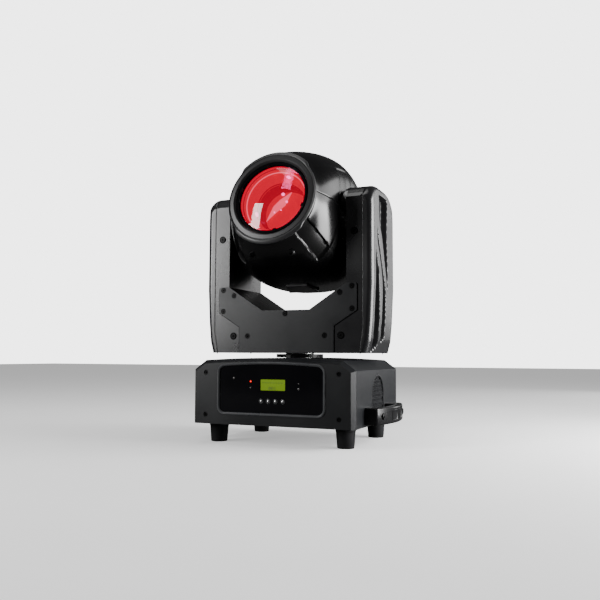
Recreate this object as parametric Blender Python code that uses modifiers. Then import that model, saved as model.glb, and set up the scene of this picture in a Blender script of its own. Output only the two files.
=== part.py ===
"""Compact moving head light: fixed base, panning yoke and tilting head.

Run with blender --background --python part.py. Lengths below are millimetres; the helpers turn them
into metres. +Z is up, the pan axis is the Z axis, the floor is Z = 0 and the beam leaves towards -Y.
Pieces of the head are drawn in the head's own axes: beam along -Y, tilt axis along X, origin where
the two cross. The "tilt_axis" empty then raises the beam by its rest angle.
"""
import math

import bmesh
import bpy
from mathutils import Matrix, Vector

MM = 0.001
GAP = 0.3                    # clearance between pieces that touch
WALL = 3.0                   # moulded and cast walls

# Base
BASE_HALF_W = 114.0
BASE_BOTTOM = 26.2           # underside of the base above the floor
BASE_SHOULDER = 97.3         # where the side walls turn into the chamfer
BASE_TOP_EDGE = 109.8
BASE_TOP_HALF_W = 96.8
BASE_CROWN = 3.2             # the top rises this much towards the middle
COVER_BACK = 91.0            # front and rear covers meet the housing here
COVER_FACE = 98.0
COVER_BEVEL = 4.8
FOOT_X, FOOT_Y = 91.0, 65.0
FOOT_TOP_R, FOOT_BOTTOM_R = 13.0, 11.0
HANDLE_HALF_LEN = 60.0
HANDLE_LOW, HANDLE_HIGH = 28.8, 50.6
HANDLE_END_X, HANDLE_MID_X = 131.0, 141.5
GRIP_HALF_LEN, GRIP_OUTER_X = 31.5, 129.5

# Control panel in the front cover
WINDOW_HALF_W, WINDOW_BOTTOM, WINDOW_SIDE_TOP, WINDOW_CROWN = 74.2, 40.8, 102.4, 3.4
WINDOW_R = 9.0
PANEL_FRONT, PANEL_BACK = 97.0, 95.0
LCD_LEFT, LCD_RIGHT, LCD_LOW, LCD_HIGH = -14.8, 22.2, 70.0, 86.6
BUTTON_X0, BUTTON_PITCH, BUTTON_Z, BUTTON_R = -12.3, 10.15, 57.4, 2.1
BUTTON_NAMES = ("menu", "down", "up", "enter")

# Pan drive
SHAFT_R, SHAFT_BORE = 20.0, 12.0
PAN_WHEEL_R, MOTOR_PULLEY_R = 36.0, 8.0
PAN_BELT_LOW, PAN_BELT_HIGH = 150.5, 156.5
PAN_MOTOR_X = -70.0

# Yoke
YOKE_BOTTOM = 119.4
YOKE_HALF_D = 50.0
ARM_INNER_X = 86.8
ARM_STRIP_X = 108.8          # outer edge of the arm's front strip
ARM_STRIP_LOW_X = 103.7      # the same edge at the bottom
ARM_TAPER_TOP = 150.0
ARM_OUTER_X = 122.8
ARM_REAR_EXTRA = 4.5         # the covers stand this much deeper at the rear
ARM_TOP = 344.0
ARM_CROWN = 20.0             # the arms' tops drop this much from the middle to the front and rear
NOTCH_HALF_W, NOTCH_Z = 35.0, 177.2
NOTCH_TOP_Z = 211.2
PLATE_X, PLATE_TOP, PLATE_KNEE, PLATE_WAIST_X, PLATE_WAIST_Z = 101.5, 210.9, 175.2, 69.6, 155.3
PLATE_THICK = 1.2

# Head and tilt drive
TILT_Z = 299.0
REST_TILT = 13.3             # degrees the beam points up at rest
HEAD_SIDE_X = 80.0           # flat sides of the head
HEAD_FRONT, HEAD_REAR = 92.0, -100.0
SPLIT_T = 5.0                # height of the parting line above the beam's axis
SHELL = 2.8
HEAD_STEPS = 40              # facets around the head
HUB_R, HUB_BORE = 13.0, 8.0
TILT_WHEEL_R = 30.0
TILT_MOTOR_Z = 150.0
TILT_BELT_IN, TILT_BELT_OUT = 99.2, 105.2
# Barrel of the head: (distance along the beam, radius)
BARREL = ((92, 64.5), (86, 69.5), (75, 77.5), (60, 85.5), (40, 90.5), (10, 91.5),
          (-20, 89.5), (-45, 84.5), (-70, 75), (-90, 65.5), (-100, 59))
# Cheeks: the head is trimmed by a cone about the tilt axis, (distance along it, radius)
CHEEK = ((0, 130), (32, 121), (80, 89.5))

for old in list(bpy.data.objects):
    bpy.data.objects.remove(old, do_unlink=True)

light = bpy.data.collections.new("moving_head_light")
cutters = bpy.data.collections.new("cutters")
for group in (light, cutters):
    bpy.context.scene.collection.children.link(group)


def material(name, colour, roughness, metallic=0.0):
    made = bpy.data.materials.new(name)
    made.use_nodes = True
    shader = made.node_tree.nodes["Principled BSDF"]
    shader.inputs["Base Color"].default_value = (*colour, 1)
    shader.inputs["Roughness"].default_value = roughness
    shader.inputs["Metallic"].default_value = metallic
    return made


SATIN = material("satin_black_paint", (0.05, 0.05, 0.055), 0.45)
GLOSS = material("gloss_black_plastic", (0.012, 0.012, 0.014), 0.12)
MATTE = material("matte_grey_plastic", (0.09, 0.09, 0.095), 0.6)
RUBBER = material("rubber", (0.02, 0.02, 0.02), 0.85)
STEEL = material("steel", (0.55, 0.55, 0.56), 0.35, 1.0)
ALUMINIUM = material("aluminium", (0.7, 0.71, 0.72), 0.4, 1.0)
GLASS = material("red_lit_lens", (0.7, 0.01, 0.12), 0.05)
CLEAR = material("clear_glass", (0.85, 0.9, 0.9), 0.03)
SCREEN = material("green_display", (0.45, 0.7, 0.05), 0.3)
BOARD = material("circuit_board", (0.02, 0.16, 0.07), 0.5)
BELT = material("belt_rubber", (0.03, 0.03, 0.03), 0.8)


def empty(name, parent=None):
    made = bpy.data.objects.new(name, None)
    light.objects.link(made)
    made.parent = parent
    return made


def keep(obj, name, mat, parent, group=light):
    """Put a finished mesh object in its collection with its name, material and parent."""
    for old in list(obj.users_collection):
        old.objects.unlink(obj)
    group.objects.link(obj)
    obj.name = name
    obj.data.name = name
    obj.data.materials.clear()
    if mat:
        obj.data.materials.append(mat)
    obj.parent = parent
    return obj


def closed_mesh(bm, name, mat, parent, group=light, smooth=35):
    """Weld, turn the faces outwards and make an object of a bmesh drawn in metres."""
    bmesh.ops.remove_doubles(bm, verts=bm.verts, dist=0.00001)
    bmesh.ops.recalc_face_normals(bm, faces=bm.faces)
    mesh = bpy.data.meshes.new(name)
    bm.to_mesh(mesh)
    bm.free()
    obj = keep(bpy.data.objects.new(name, mesh), name, mat, parent, group)
    obj.data.shade_smooth()
    obj.data.set_sharp_from_angle(angle=math.radians(smooth))
    return obj


def box(name, low, high, mat=None, parent=None, bevel=0.0, group=light):
    bm = bmesh.new()
    size = [(b - a) * MM for a, b in zip(low, high)]
    middle = [(a + b) / 2 * MM for a, b in zip(low, high)]
    bmesh.ops.create_cube(bm, size=1, matrix=Matrix.Translation(middle) @ Matrix.Diagonal((*size, 1)))
    obj = closed_mesh(bm, name, mat, parent, group)
    if bevel:
        edge = obj.modifiers.new("edge", "BEVEL")
        edge.width = bevel * MM
        edge.segments = 2
    return obj


TURN = {"X": Matrix.Rotation(math.radians(90), 4, "Y"), "Y": Matrix.Rotation(math.radians(-90), 4, "X"),
        "Z": Matrix.Identity(4)}


def turned(name, profile, axis, centre=(0, 0, 0), steps=32, mat=None, parent=None, group=light):
    """Spin a closed (radius, height) profile about an axis through centre; height runs along +axis.

    The profile goes down its outer side. Where it starts and ends at radius 0 the solid is full.
    """
    mesh = bpy.data.meshes.new(name)
    count = len(profile)
    full = profile[0][0] == 0 and profile[-1][0] == 0
    edges = [(i, (i + 1) % count) for i in range(count - 1 if full else count)]
    mesh.from_pydata([(r * MM, 0, h * MM) for r, h in profile], edges, [])
    raw = bpy.data.objects.new(name, mesh)
    light.objects.link(raw)
    screw = raw.modifiers.new("turn", "SCREW")
    screw.steps = steps
    screw.render_steps = steps
    screw.use_merge_vertices = True
    screw.merge_threshold = 0.00001
    bm = bmesh.new()
    bm.from_mesh(raw.evaluated_get(bpy.context.evaluated_depsgraph_get()).to_mesh())
    bpy.data.objects.remove(raw, do_unlink=True)
    bm.transform(Matrix.Translation(Vector(centre) * MM) @ TURN[axis])
    # each flat end becomes one face
    bmesh.ops.dissolve_limit(bm, angle_limit=0.001, verts=bm.verts, edges=bm.edges)
    return closed_mesh(bm, name, mat, parent, group)


def ring(name, inner, outer, low, high, axis, centre=(0, 0, 0), steps=32, **more):
    return turned(name, ((outer, high), (outer, low), (inner, low), (inner, high)), axis, centre, steps, **more)


def disc(name, radius, low, high, axis, centre=(0, 0, 0), steps=32, **more):
    return turned(name, ((0, high), (radius, high), (radius, low), (0, low)), axis, centre, steps, **more)


def circle(x, y, radius, count=16):
    turn = 2 * math.pi / count
    return [(x + radius * math.cos(i * turn), y + radius * math.sin(i * turn)) for i in range(count)]


def rounded(corners, count=4):
    """Round the corners of an outline given as (x, y, radius)."""
    out = []
    for i, (x, y, radius) in enumerate(corners):
        here = Vector((x, y))
        before = (Vector(corners[i - 1][:2]) - here).normalized()
        after = (Vector(corners[(i + 1) % len(corners)][:2]) - here).normalized()
        if radius == 0:
            out.append((x, y))
            continue
        half = before.angle(after) / 2
        start = here + before * radius / math.tan(half)
        end = here + after * radius / math.tan(half)
        centre = here + (before + after).normalized() * radius / math.sin(half)
        a, b = start - centre, end - centre
        sweep = a.angle_signed(b)
        for k in range(count + 1):
            spoke = a.copy()
            spoke.rotate(Matrix.Rotation(-sweep * k / count, 2))
            out.append(tuple(centre + spoke))
    return out


PLANE = {"XY": Matrix.Identity(4), "XZ": Matrix.Rotation(math.radians(90), 4, "X"),
         "YZ": Matrix.Rotation(math.radians(90), 4, "Z") @ Matrix.Rotation(math.radians(90), 4, "X")}
ACROSS = {"XY": Vector((0, 0, 1)), "XZ": Vector((0, 1, 0)), "YZ": Vector((1, 0, 0))}


def plate(name, outlines, plane, low, high, mat=None, parent=None, group=light, smooth=35):
    """A flat outline with holes, extruded from low to high across its plane."""
    curve = bpy.data.curves.new(name, "CURVE")
    curve.dimensions = "2D"
    curve.fill_mode = "BOTH"
    curve.extrude = (high - low) / 2 * MM
    for outline in outlines:
        spline = curve.splines.new("POLY")
        spline.points.add(len(outline) - 1)
        for point, (x, y) in zip(spline.points, outline):
            point.co = (x * MM, y * MM, 0, 1)
        spline.use_cyclic_u = True
    raw = bpy.data.objects.new(name, curve)
    light.objects.link(raw)
    bm = bmesh.new()
    bm.from_mesh(raw.evaluated_get(bpy.context.evaluated_depsgraph_get()).to_mesh())
    bpy.data.objects.remove(raw, do_unlink=True)
    bm.transform(Matrix.Translation(ACROSS[plane] * (low + high) / 2 * MM) @ PLANE[plane])
    return closed_mesh(bm, name, mat, parent, group, smooth)


def loft(name, sections, mat=None, parent=None, group=light, smooth=35):
    """A closed solid through outlines with the same number of points, capped at both ends."""
    bm = bmesh.new()
    rows = [[bm.verts.new(Vector(point) * MM) for point in section] for section in sections]
    for lower, upper in zip(rows, rows[1:]):
        for i in range(len(lower)):
            j = (i + 1) % len(lower)
            bm.faces.new((lower[i], lower[j], upper[j], upper[i]))
    bm.faces.new(rows[0])
    bm.faces.new(rows[-1])
    return closed_mesh(bm, name, mat, parent, group, smooth)


def as_cutter(obj):
    """Hide a shape from renders and show it as wire: it only shapes other pieces."""
    keep(obj, obj.name, None, obj.parent, cutters)
    obj.hide_render = True
    obj.display_type = "WIRE"
    return obj


def combine(obj, other, operation):
    step = obj.modifiers.new(operation.lower(), "BOOLEAN")
    step.operation = operation
    step.solver = "EXACT"
    step.object = as_cutter(other)
    return obj


def cut(obj, *others):
    for other in others:
        combine(obj, other, "DIFFERENCE")
    return obj


def join(obj, *others):
    for other in others:
        combine(obj, other, "UNION")
    return obj


base = empty("base_frame")
pan = empty("pan_axis")
tilt = empty("tilt_axis", pan)
tilt.location = (0, 0, TILT_Z * MM)
tilt.rotation_euler = (math.radians(-REST_TILT), 0, 0)


# ---------------------------------------------------------------- base
def base_outline(inset=0.0, bottom=BASE_BOTTOM, count=8):
    """Front view of the base: straight sides, chamfered shoulders, gently arched top."""
    slope = inset * 0.45
    half = BASE_TOP_HALF_W - slope
    arch = [(half * (1 - 2 * i / count), BASE_TOP_EDGE - inset + BASE_CROWN * (1 - (1 - 2 * i / count) ** 2))
            for i in range(count + 1)]
    side = BASE_HALF_W - inset
    return [(side, bottom), (side, BASE_SHOULDER - slope), *arch, (-side, BASE_SHOULDER - slope),
            (-side, bottom)]


def window(inset=0.0, count=10):
    """The control panel's opening: flat bottom, arched top and round corners."""
    half, low, high, r = WINDOW_HALF_W - inset, WINDOW_BOTTOM + inset, WINDOW_SIDE_TOP - inset, WINDOW_R - inset
    arch = [(half * (1 - 2 * i / count), high + WINDOW_CROWN * (1 - (1 - 2 * i / count) ** 2), 0)
            for i in range(1, count)]
    return rounded([(-half, low, r), (half, low, r), (half, high, r), *arch, (-half, high, r)])


def vent_outline(inset=0.0, count=10):
    """Pointed-arch vent in the side walls, as (y, z)."""
    half, low, spring, top = 28.0 - inset, 31.0 + inset, 60.0, 91.5 - inset
    left = [(-half * math.cos(i / count * math.pi / 2),
             spring + (top - spring) * math.sin(i / count * math.pi / 2))
            for i in range(count + 1)]
    return [(-half, low), *left, *[(-y, z) for y, z in reversed(left[:-1])], (half, low)]


sleeve = base_outline() + list(reversed(base_outline(WALL)))
housing = plate("base_housing", [sleeve], "XZ", -COVER_BACK + GAP, COVER_BACK - GAP, SATIN, base)
cut(housing,
    disc("cut_shaft_hole", 24, 90, 130, "Z"),
    plate("cut_vents", [vent_outline()], "YZ", -140, 140))

for side, name in ((-1, "left"), (1, "right")):
    inner, outer = sorted((side * (BASE_HALF_W - 0.6), side * (BASE_HALF_W - 2.4)))
    vent = plate(f"vent_grille_{name}", [vent_outline(GAP)], "YZ", inner, outer, MATTE, base)
    bars = [box(f"cut_vent_{name}_{i}", (-130, -20, 56 + 7 * i), (130, 20, 59.5 + 7 * i)) for i in range(3)]
    cut(vent, *bars)


def cover(name, facing, mat):
    """Front (-1) or rear (+1) cover: a shallow tray whose rim is bevelled back to the housing."""
    outer = [(x, facing * COVER_BACK, z) for x, z in base_outline()]
    middle = [(x, facing * (COVER_BACK + 0.8), z) for x, z in base_outline()]
    face = [(x, facing * COVER_FACE, z) for x, z in base_outline(COVER_BEVEL)]
    made = loft(name, (outer, middle, face), mat, base)
    inside = base_outline(WALL + COVER_BEVEL, BASE_BOTTOM + WALL)
    low, high = sorted((facing * (COVER_BACK - 2), facing * (COVER_FACE - 2.5)))
    return cut(made, plate(f"cut_{name}_inside", [inside], "XZ", low, high))


front_cover = cover("base_front_cover", -1, SATIN)
cut(front_cover, plate("cut_panel_window", [window()], "XZ", -110, -90))
screw_holes = [circle(sx * 93.8, z, 3.3, 12) for sx in (-1, 1) for z in (38.2, 93.5)]
for i, hole in enumerate(screw_holes):
    cut(front_cover, plate(f"cut_cover_screw_{i}", [hole], "XZ", -110, -90))

INLET = (-84.0, -56.0, 46.0, 66.0)                      # x from, x to, z from, z to
SOCKETS = (("signal_input", 30.0), ("signal_output", 66.0))
SOCKET_Z, SOCKET_R = 62.0, 12.0
rear_cover = cover("base_rear_cover", 1, SATIN)
cut(rear_cover,
    box("cut_inlet", (INLET[0] - GAP, 90, INLET[2] - GAP), (INLET[1] + GAP, 110, INLET[3] + GAP)),
    *[disc(f"cut_{n}", SOCKET_R + GAP, 90, 110, "Y", (x, 0, SOCKET_Z), 24) for n, x in SOCKETS])
for i, hole in enumerate(screw_holes):
    cut(rear_cover, plate(f"cut_rear_screw_{i}", [hole], "XZ", 90, 110))

power_inlet = box("power_inlet", (INLET[0], 70, INLET[2]), (INLET[1], COVER_FACE + 0.8, INLET[3]), GLOSS,
                  base)
cut(power_inlet, box("cut_inlet_cavity", (INLET[0] + 3, 84, INLET[2] + 3), (INLET[1] - 3, 110, INLET[3] - 3)))
for name, x in SOCKETS:
    turned(f"{name}_socket", ((SOCKET_R, COVER_FACE + 1), (SOCKET_R, 74), (2, 74), (2, 80), (9.5, 80),
                              (9.5, COVER_FACE + 1)), "Y", (x, 0, SOCKET_Z), 24, mat=STEEL, parent=base)

BRACKET_HOLES = [(sx * 53.0, sy * 53.0) for sx in (-1, 1) for sy in (-1, 1)]
bottom_half_w, bottom_half_d = BASE_HALF_W - WALL - GAP, COVER_BACK - 1
plate("base_bottom_plate",
      [rounded([(-bottom_half_w, -bottom_half_d, 2), (bottom_half_w, -bottom_half_d, 2),
                (bottom_half_w, bottom_half_d, 2), (-bottom_half_w, bottom_half_d, 2)], 2),
       *[circle(x, y, 5.5) for x, y in BRACKET_HOLES], circle(0, -70, 6.0)],
      "XY", BASE_BOTTOM, BASE_BOTTOM + 2, STEEL, base)

for sx, across in ((-1, "left"), (1, "right")):
    for sy, along in ((-1, "front"), (1, "rear")):
        turned(f"foot_{along}_{across}",
               ((0, BASE_BOTTOM - GAP), (FOOT_TOP_R, BASE_BOTTOM - GAP), (FOOT_TOP_R, BASE_BOTTOM - 2.5),
                (FOOT_BOTTOM_R + 0.2, 1.2), (FOOT_BOTTOM_R - 0.8, 0), (4.5, 0), (4.5, 14), (0, 14)),
               "Z", (sx * FOOT_X, sy * FOOT_Y, 0), 24, mat=RUBBER, parent=base)


def handle_outline(side, count=12):
    """Plan of a carrying handle: a bowed bar on two end blocks, as (x, y)."""
    rise = HANDLE_MID_X - HANDLE_END_X
    bow = [(HANDLE_END_X + rise * (1 - (2 * i / count - 1) ** 2), HANDLE_HALF_LEN * (2 * i / count - 1))
           for i in range(count + 1)]
    foot = BASE_HALF_W + GAP
    grip = rounded([(foot, GRIP_HALF_LEN, 0), (GRIP_OUTER_X, GRIP_HALF_LEN, 6),
                    (GRIP_OUTER_X, -GRIP_HALF_LEN, 6), (foot, -GRIP_HALF_LEN, 0)])
    points = [(foot, -HANDLE_HALF_LEN), *bow, (foot, HANDLE_HALF_LEN), *grip]
    return [(side * x, y) for x, y in points]


for side, name in ((-1, "left"), (1, "right")):
    handle = plate(f"handle_{name}", [handle_outline(side)], "XY", HANDLE_LOW, HANDLE_HIGH, GLOSS, base)
    low, high = sorted((side * 128.0, side * 150.0))
    cut(handle, *[disc(f"cut_handle_{name}_{i}", 3.6, low, high, "X", (0, y, 39.7), 12)
                  for i, y in enumerate((-47.0, 47.0))])

# Control panel, display, board and push buttons
button_x = [BUTTON_X0 + i * BUTTON_PITCH for i in range(len(BUTTON_NAMES))]
panel_holes = [circle(x, BUTTON_Z, BUTTON_R + GAP, 14) for x in button_x]
screen_hole = [(LCD_LEFT, LCD_LOW), (LCD_RIGHT, LCD_LOW), (LCD_RIGHT, LCD_HIGH), (LCD_LEFT, LCD_HIGH)]
plate("control_panel", [window(GAP), screen_hole, *panel_holes], "XZ", -PANEL_FRONT, -PANEL_BACK, GLOSS, base)
box("lcd_display", (LCD_LEFT + GAP, -PANEL_FRONT + 0.5, LCD_LOW + GAP),
    (LCD_RIGHT - GAP, -89.4, LCD_HIGH - GAP), SCREEN, base)
BOARD_FRONT = 89.0
board = box("control_board", (-62, -BOARD_FRONT, 46), (62, -BOARD_FRONT + 1.6, 98), BOARD, base)
join(board, *[box(f"switch_{n}", (x - 3, -91.2, BUTTON_Z - 3), (x + 3, -BOARD_FRONT + 0.5, BUTTON_Z + 3))
              for n, x in zip(BUTTON_NAMES, button_x)])
for label, x in zip(BUTTON_NAMES, button_x):
    axis = empty(f"{label}_slide", base)
    axis.location = (x * MM, -PANEL_FRONT * MM, BUTTON_Z * MM)
    turned(f"button_{label}", ((0, 5.0), (BUTTON_R + 0.9, 5.0), (BUTTON_R + 0.9, 3.4), (BUTTON_R, 3.4),
                               (BUTTON_R, -1.2), (BUTTON_R - 0.5, -1.7), (0, -1.7)),
           "Y", (0, 0, 0), 20, mat=STEEL, parent=axis)

# Inside the base
box("power_supply", (-108, -75, 32), (-52, 60, 80), ALUMINIUM, base, 1.5)
box("lamp_ballast", (52, -75, 32), (94, 60, 76), ALUMINIUM, base, 1.5)
bracket = [(-46, 28.5), (-43, 28.5), (-43, 97), (43, 97), (43, 28.5), (46, 28.5), (46, 100), (-46, 100)]
cut(plate("pan_support_bracket", [bracket], "XZ", -32, 32, STEEL, base),
    disc("cut_bracket_bore", SHAFT_BORE, 90, 110, "Z", steps=24))
wheel_low, wheel_high = PAN_BELT_LOW - 1.0, PAN_BELT_HIGH + 1.0
lip_r = PAN_WHEEL_R + 3
turned("pan_shaft",
       ((lip_r, wheel_high), (lip_r, wheel_high - 0.7), (PAN_WHEEL_R, wheel_high - 0.7),
        (PAN_WHEEL_R, wheel_low + 0.7), (lip_r, wheel_low + 0.7), (lip_r, wheel_low), (SHAFT_R, wheel_low),
        (SHAFT_R, 104), (30, 104), (30, 100.3), (SHAFT_BORE, 100.3), (SHAFT_BORE, wheel_high)),
       "Z", mat=STEEL, parent=base)
ring("pan_collar", SHAFT_R + GAP, 33, BASE_TOP_EDGE + BASE_CROWN + GAP, YOKE_BOTTOM - 1.2, "Z", mat=MATTE,
     parent=base)


def fan(name, axis, centre, radius, low, high, parent):
    """A fan rotor: a hub with six flat blades let into it."""
    made = disc(name, radius * 0.42, low, high, axis, centre, 20, mat=MATTE, parent=parent)
    blades = []
    for i in range(3):
        blade = box(f"{name}_blade_{i}", (-radius, -1.0, low + 0.8), (radius, 1.0, high - 0.8))
        blade.data.transform(Matrix.Translation(Vector(centre) * MM) @ TURN[axis]
                             @ Matrix.Rotation(math.radians(60 * i), 4, "Z"))
        blade.parent = parent
        blades.append(blade)
    return join(made, *blades)




# ---------------------------------------------------------------- yoke
def strip_edge(z):
    """Outer edge of the arm's front strip: it tapers in below ARM_TAPER_TOP."""
    rise = min(1.0, (z - YOKE_BOTTOM) / (ARM_TAPER_TOP - YOKE_BOTTOM))
    return ARM_STRIP_LOW_X + (ARM_STRIP_X - ARM_STRIP_LOW_X) * rise


def arm_arch(drop=0.0, count=20, half=58.0):
    """Side view of everything above the arched tops of the arms, as (y, z)."""
    arc = [(half * (2 * i / count - 1), ARM_TOP - drop - ARM_CROWN * ((2 * i / count - 1) * half / 51) ** 4)
           for i in range(count + 1)]
    return [*arc, (half, ARM_TOP + 20), (-half, ARM_TOP + 20)]


def frame_outline():
    """Front view of the yoke frame: two arms on a V-notched cross piece, right half then left half."""
    half = [(0, NOTCH_Z), (NOTCH_HALF_W, NOTCH_Z), (ARM_INNER_X, NOTCH_TOP_Z), (ARM_INNER_X, ARM_TOP + 4),
            (ARM_STRIP_X, ARM_TOP + 4), (ARM_STRIP_X, ARM_TAPER_TOP), (ARM_STRIP_LOW_X, YOKE_BOTTOM)]
    return half[1:] + [(-x, z) for x, z in reversed(half[1:])]


def frame_inside():
    """The same view, one wall in; the arms run on outwards, so the frame is open at its sides."""
    lean = WALL * 1.2
    roof = ARM_TOP + 6
    half = [(NOTCH_HALF_W - 1, NOTCH_Z - WALL), (ARM_INNER_X + WALL - 0.6, NOTCH_TOP_Z - lean),
            (ARM_INNER_X + WALL, NOTCH_TOP_Z), (ARM_INNER_X + WALL, roof),
            (130, roof), (130, YOKE_BOTTOM + WALL)]
    return half + [(-x, z) for x, z in reversed(half)]


frame = plate("yoke_frame", [frame_outline()], "XZ", -YOKE_HALF_D, YOKE_HALF_D, SATIN, pan)
inside_d = YOKE_HALF_D - WALL
frame_hollow = cut(plate("cut_frame_inside", [frame_inside()], "XZ", -inside_d, inside_d),
                   plate("cut_hollow_arch", [arm_arch(WALL)], "YZ", -135, 135))
cut(frame,
    plate("cut_frame_arch", [arm_arch()], "YZ", -130, 130),
    frame_hollow,
    disc("cut_frame_shaft", SHAFT_R + 1.5, 110, 130, "Z"),
    plate("cut_frame_windows", [rounded([(-58, 128, 5), (58, 128, 5), (58, 168, 5), (-58, 168, 5)])], "XZ", -70, 70),
    disc("cut_frame_hubs", HUB_R + 1.5, -95, 95, "X", (0, 0, TILT_Z), 24))


def plate_outline():
    """The V-shaped service plate on the front and rear of the cross piece."""
    half = [(PLATE_WAIST_X, YOKE_BOTTOM + 0.4, 0), (PLATE_WAIST_X, PLATE_WAIST_Z, 0),
            (PLATE_X, PLATE_KNEE, 2.5), (PLATE_X, PLATE_TOP, 3), (ARM_INNER_X + 0.2, PLATE_TOP + 0.3, 0),
            (NOTCH_HALF_W, NOTCH_Z, 0)]
    return rounded(half + [(-x, z, r) for x, z, r in reversed(half)], 3)


PLATE_SCREWS = ((95.0, 206.8), (78.2, 198.8), (95.0, 177.2), (56.7, 142.6))
plate_screws = [circle(sx * x, z, 1.9, 8) for x, z in PLATE_SCREWS for sx in (-1, 1)] + [circle(0, 172.4, 1.9, 8)]
for facing, name in ((-1, "front"), (1, "rear")):
    low, high = sorted((facing * (YOKE_HALF_D + GAP), facing * (YOKE_HALF_D + GAP + PLATE_THICK)))
    plate(f"yoke_{name}_plate", [plate_outline(), *plate_screws], "XZ", low, high, SATIN, pan)

# Half width of the arm cover and half depth of its flat part, by height
COVER_SECTIONS = ((YOKE_BOTTOM, 114.0, 49.0), (135, 118.3, 50), (ARM_TAPER_TOP, 120.5, 50),
                  (205, ARM_OUTER_X, 50), (295, ARM_OUTER_X, 50), (322, 122.0, 50), (ARM_TOP + 1, 119.0, 50))
COVER_WALL = 2.5


def cover_section(z, outer_x, half_d, side, wall=0.0, count=5):
    """Plan of an arm cover at one height: flat inner side, rounded outer corners."""
    inner_x = strip_edge(z) + GAP - (6 if wall else 0)
    x, d = outer_x - wall, half_d - wall
    r = min(10.0, (outer_x - strip_edge(z)) * 0.8) - wall * 0.5
    half = []
    for k in range(count + 1):
        a = k / count * math.pi / 2
        half.append((x - r + r * math.sin(a), d - r + r * math.cos(a)))
    rear = [(px, py + ARM_REAR_EXTRA) for px, py in [(inner_x, d), *half]]
    points = [*rear, *[(px, -py) for px, py in reversed(half)], (inner_x, -d)]
    return [(side * px, py, z) for px, py in points]


for side, name in ((-1, "left"), (1, "right")):
    shell = loft(f"arm_cover_{name}", [cover_section(z, x, d, side) for z, x, d in COVER_SECTIONS], SATIN, pan)
    inner = [(YOKE_BOTTOM + COVER_WALL, 114.4, 49.2), *COVER_SECTIONS[1:]]
    hollow_arch = plate(f"cut_cover_hollow_{name}", [arm_arch(COVER_WALL)], "YZ", -135, 135)
    hollow = loft(f"cut_arm_cover_{name}", [cover_section(z, x, d, side, COVER_WALL) for z, x, d in inner])
    cut(shell, plate(f"cut_cover_arch_{name}", [arm_arch()], "YZ", -130, 130), cut(hollow, hollow_arch))

# Bearings, motors, pulleys and belts
ring("pan_bearing", SHAFT_R + 0.4, 29, YOKE_BOTTOM + WALL + GAP, 134, "Z", mat=STEEL, parent=pan)
pan_motor = box("pan_motor", (PAN_MOTOR_X - 21, -21, 123), (PAN_MOTOR_X + 21, 21, 147), STEEL, pan, 2)
join(pan_motor, disc("pan_motor_shaft", 2.5, 145, 158.5, "Z", (PAN_MOTOR_X, 0, 0), 16))
tilt_motor = box("tilt_motor", (60, -21, TILT_MOTOR_Z - 21), (96.5, 21, TILT_MOTOR_Z + 21), STEEL, pan, 2)
join(tilt_motor, disc("tilt_motor_shaft", 2.5, 95, 106.8, "X", (0, 0, TILT_MOTOR_Z), 16))


def flanged(name, radius, low, high, axis, centre, bore, lip, parent):
    """A belt pulley with a thin flange at each end, spaced to hold the belt."""
    profile = ((radius + lip, high), (radius + lip, high - 0.6), (radius, high - 0.6), (radius, low + 0.6),
               (radius + lip, low + 0.6), (radius + lip, low), (bore, low), (bore, high))
    return turned(name, profile, axis, centre, 24, mat=ALUMINIUM, parent=parent)


pan_pulley_axis = empty("pan_pulley_axis", pan)
pan_pulley_axis.location = (PAN_MOTOR_X * MM, 0, 0)
flanged("pan_motor_pulley", MOTOR_PULLEY_R, PAN_BELT_LOW - 1, PAN_BELT_HIGH + 1, "Z", (0, 0, 0), 2.8, 3,
        pan_pulley_axis)
tilt_pulley_axis = empty("tilt_pulley_axis", pan)
tilt_pulley_axis.location = (0, 0, TILT_MOTOR_Z * MM)
flanged("tilt_motor_pulley", MOTOR_PULLEY_R, TILT_BELT_IN - 1, TILT_BELT_OUT + 1, "X", (0, 0, 0), 2.8, 3,
        tilt_pulley_axis)


def belt_loop(centre_a, radius_a, centre_b, radius_b, grow, count=14):
    """Outline of an open belt round two pulleys, grown outwards by grow."""
    a, b = Vector(centre_a), Vector(centre_b)
    along = b - a
    lean = math.asin((radius_a - radius_b) / along.length)
    heading = math.atan2(along.y, along.x)
    ra, rb = radius_a + grow, radius_b + grow
    points = []
    for k in range(count + 1):
        t = heading + math.pi / 2 - lean + k / count * (math.pi + 2 * lean)
        points.append((a.x + ra * math.cos(t), a.y + ra * math.sin(t)))
    for k in range(count + 1):
        t = heading - math.pi / 2 + lean + k / count * (math.pi - 2 * lean)
        points.append((b.x + rb * math.cos(t), b.y + rb * math.sin(t)))
    return points


BELT_THICK, BELT_CLEAR = 1.4, 0.5
for name, plane, centre_a, radius_a, centre_b, low, high in (
        ("pan_belt", "XY", (0, 0), PAN_WHEEL_R, (PAN_MOTOR_X, 0), PAN_BELT_LOW + GAP, PAN_BELT_HIGH - GAP),
        ("tilt_belt", "YZ", (0, TILT_Z), TILT_WHEEL_R, (0, TILT_MOTOR_Z), TILT_BELT_IN + GAP, TILT_BELT_OUT - GAP)):
    loops = [belt_loop(centre_a, radius_a, centre_b, MOTOR_PULLEY_R, grow)
             for grow in (BELT_CLEAR + BELT_THICK, BELT_CLEAR)]
    plate(name, loops, plane, low, high, BELT, pan)

for side, name in ((-1, "left"), (1, "right")):
    low, high = sorted((side * (ARM_INNER_X + WALL + GAP), side * 97.6))
    ring(f"tilt_bearing_{name}", HUB_R + 0.4, 21, low, high, "X", (0, 0, TILT_Z), 24, mat=STEEL, parent=pan)


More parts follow.
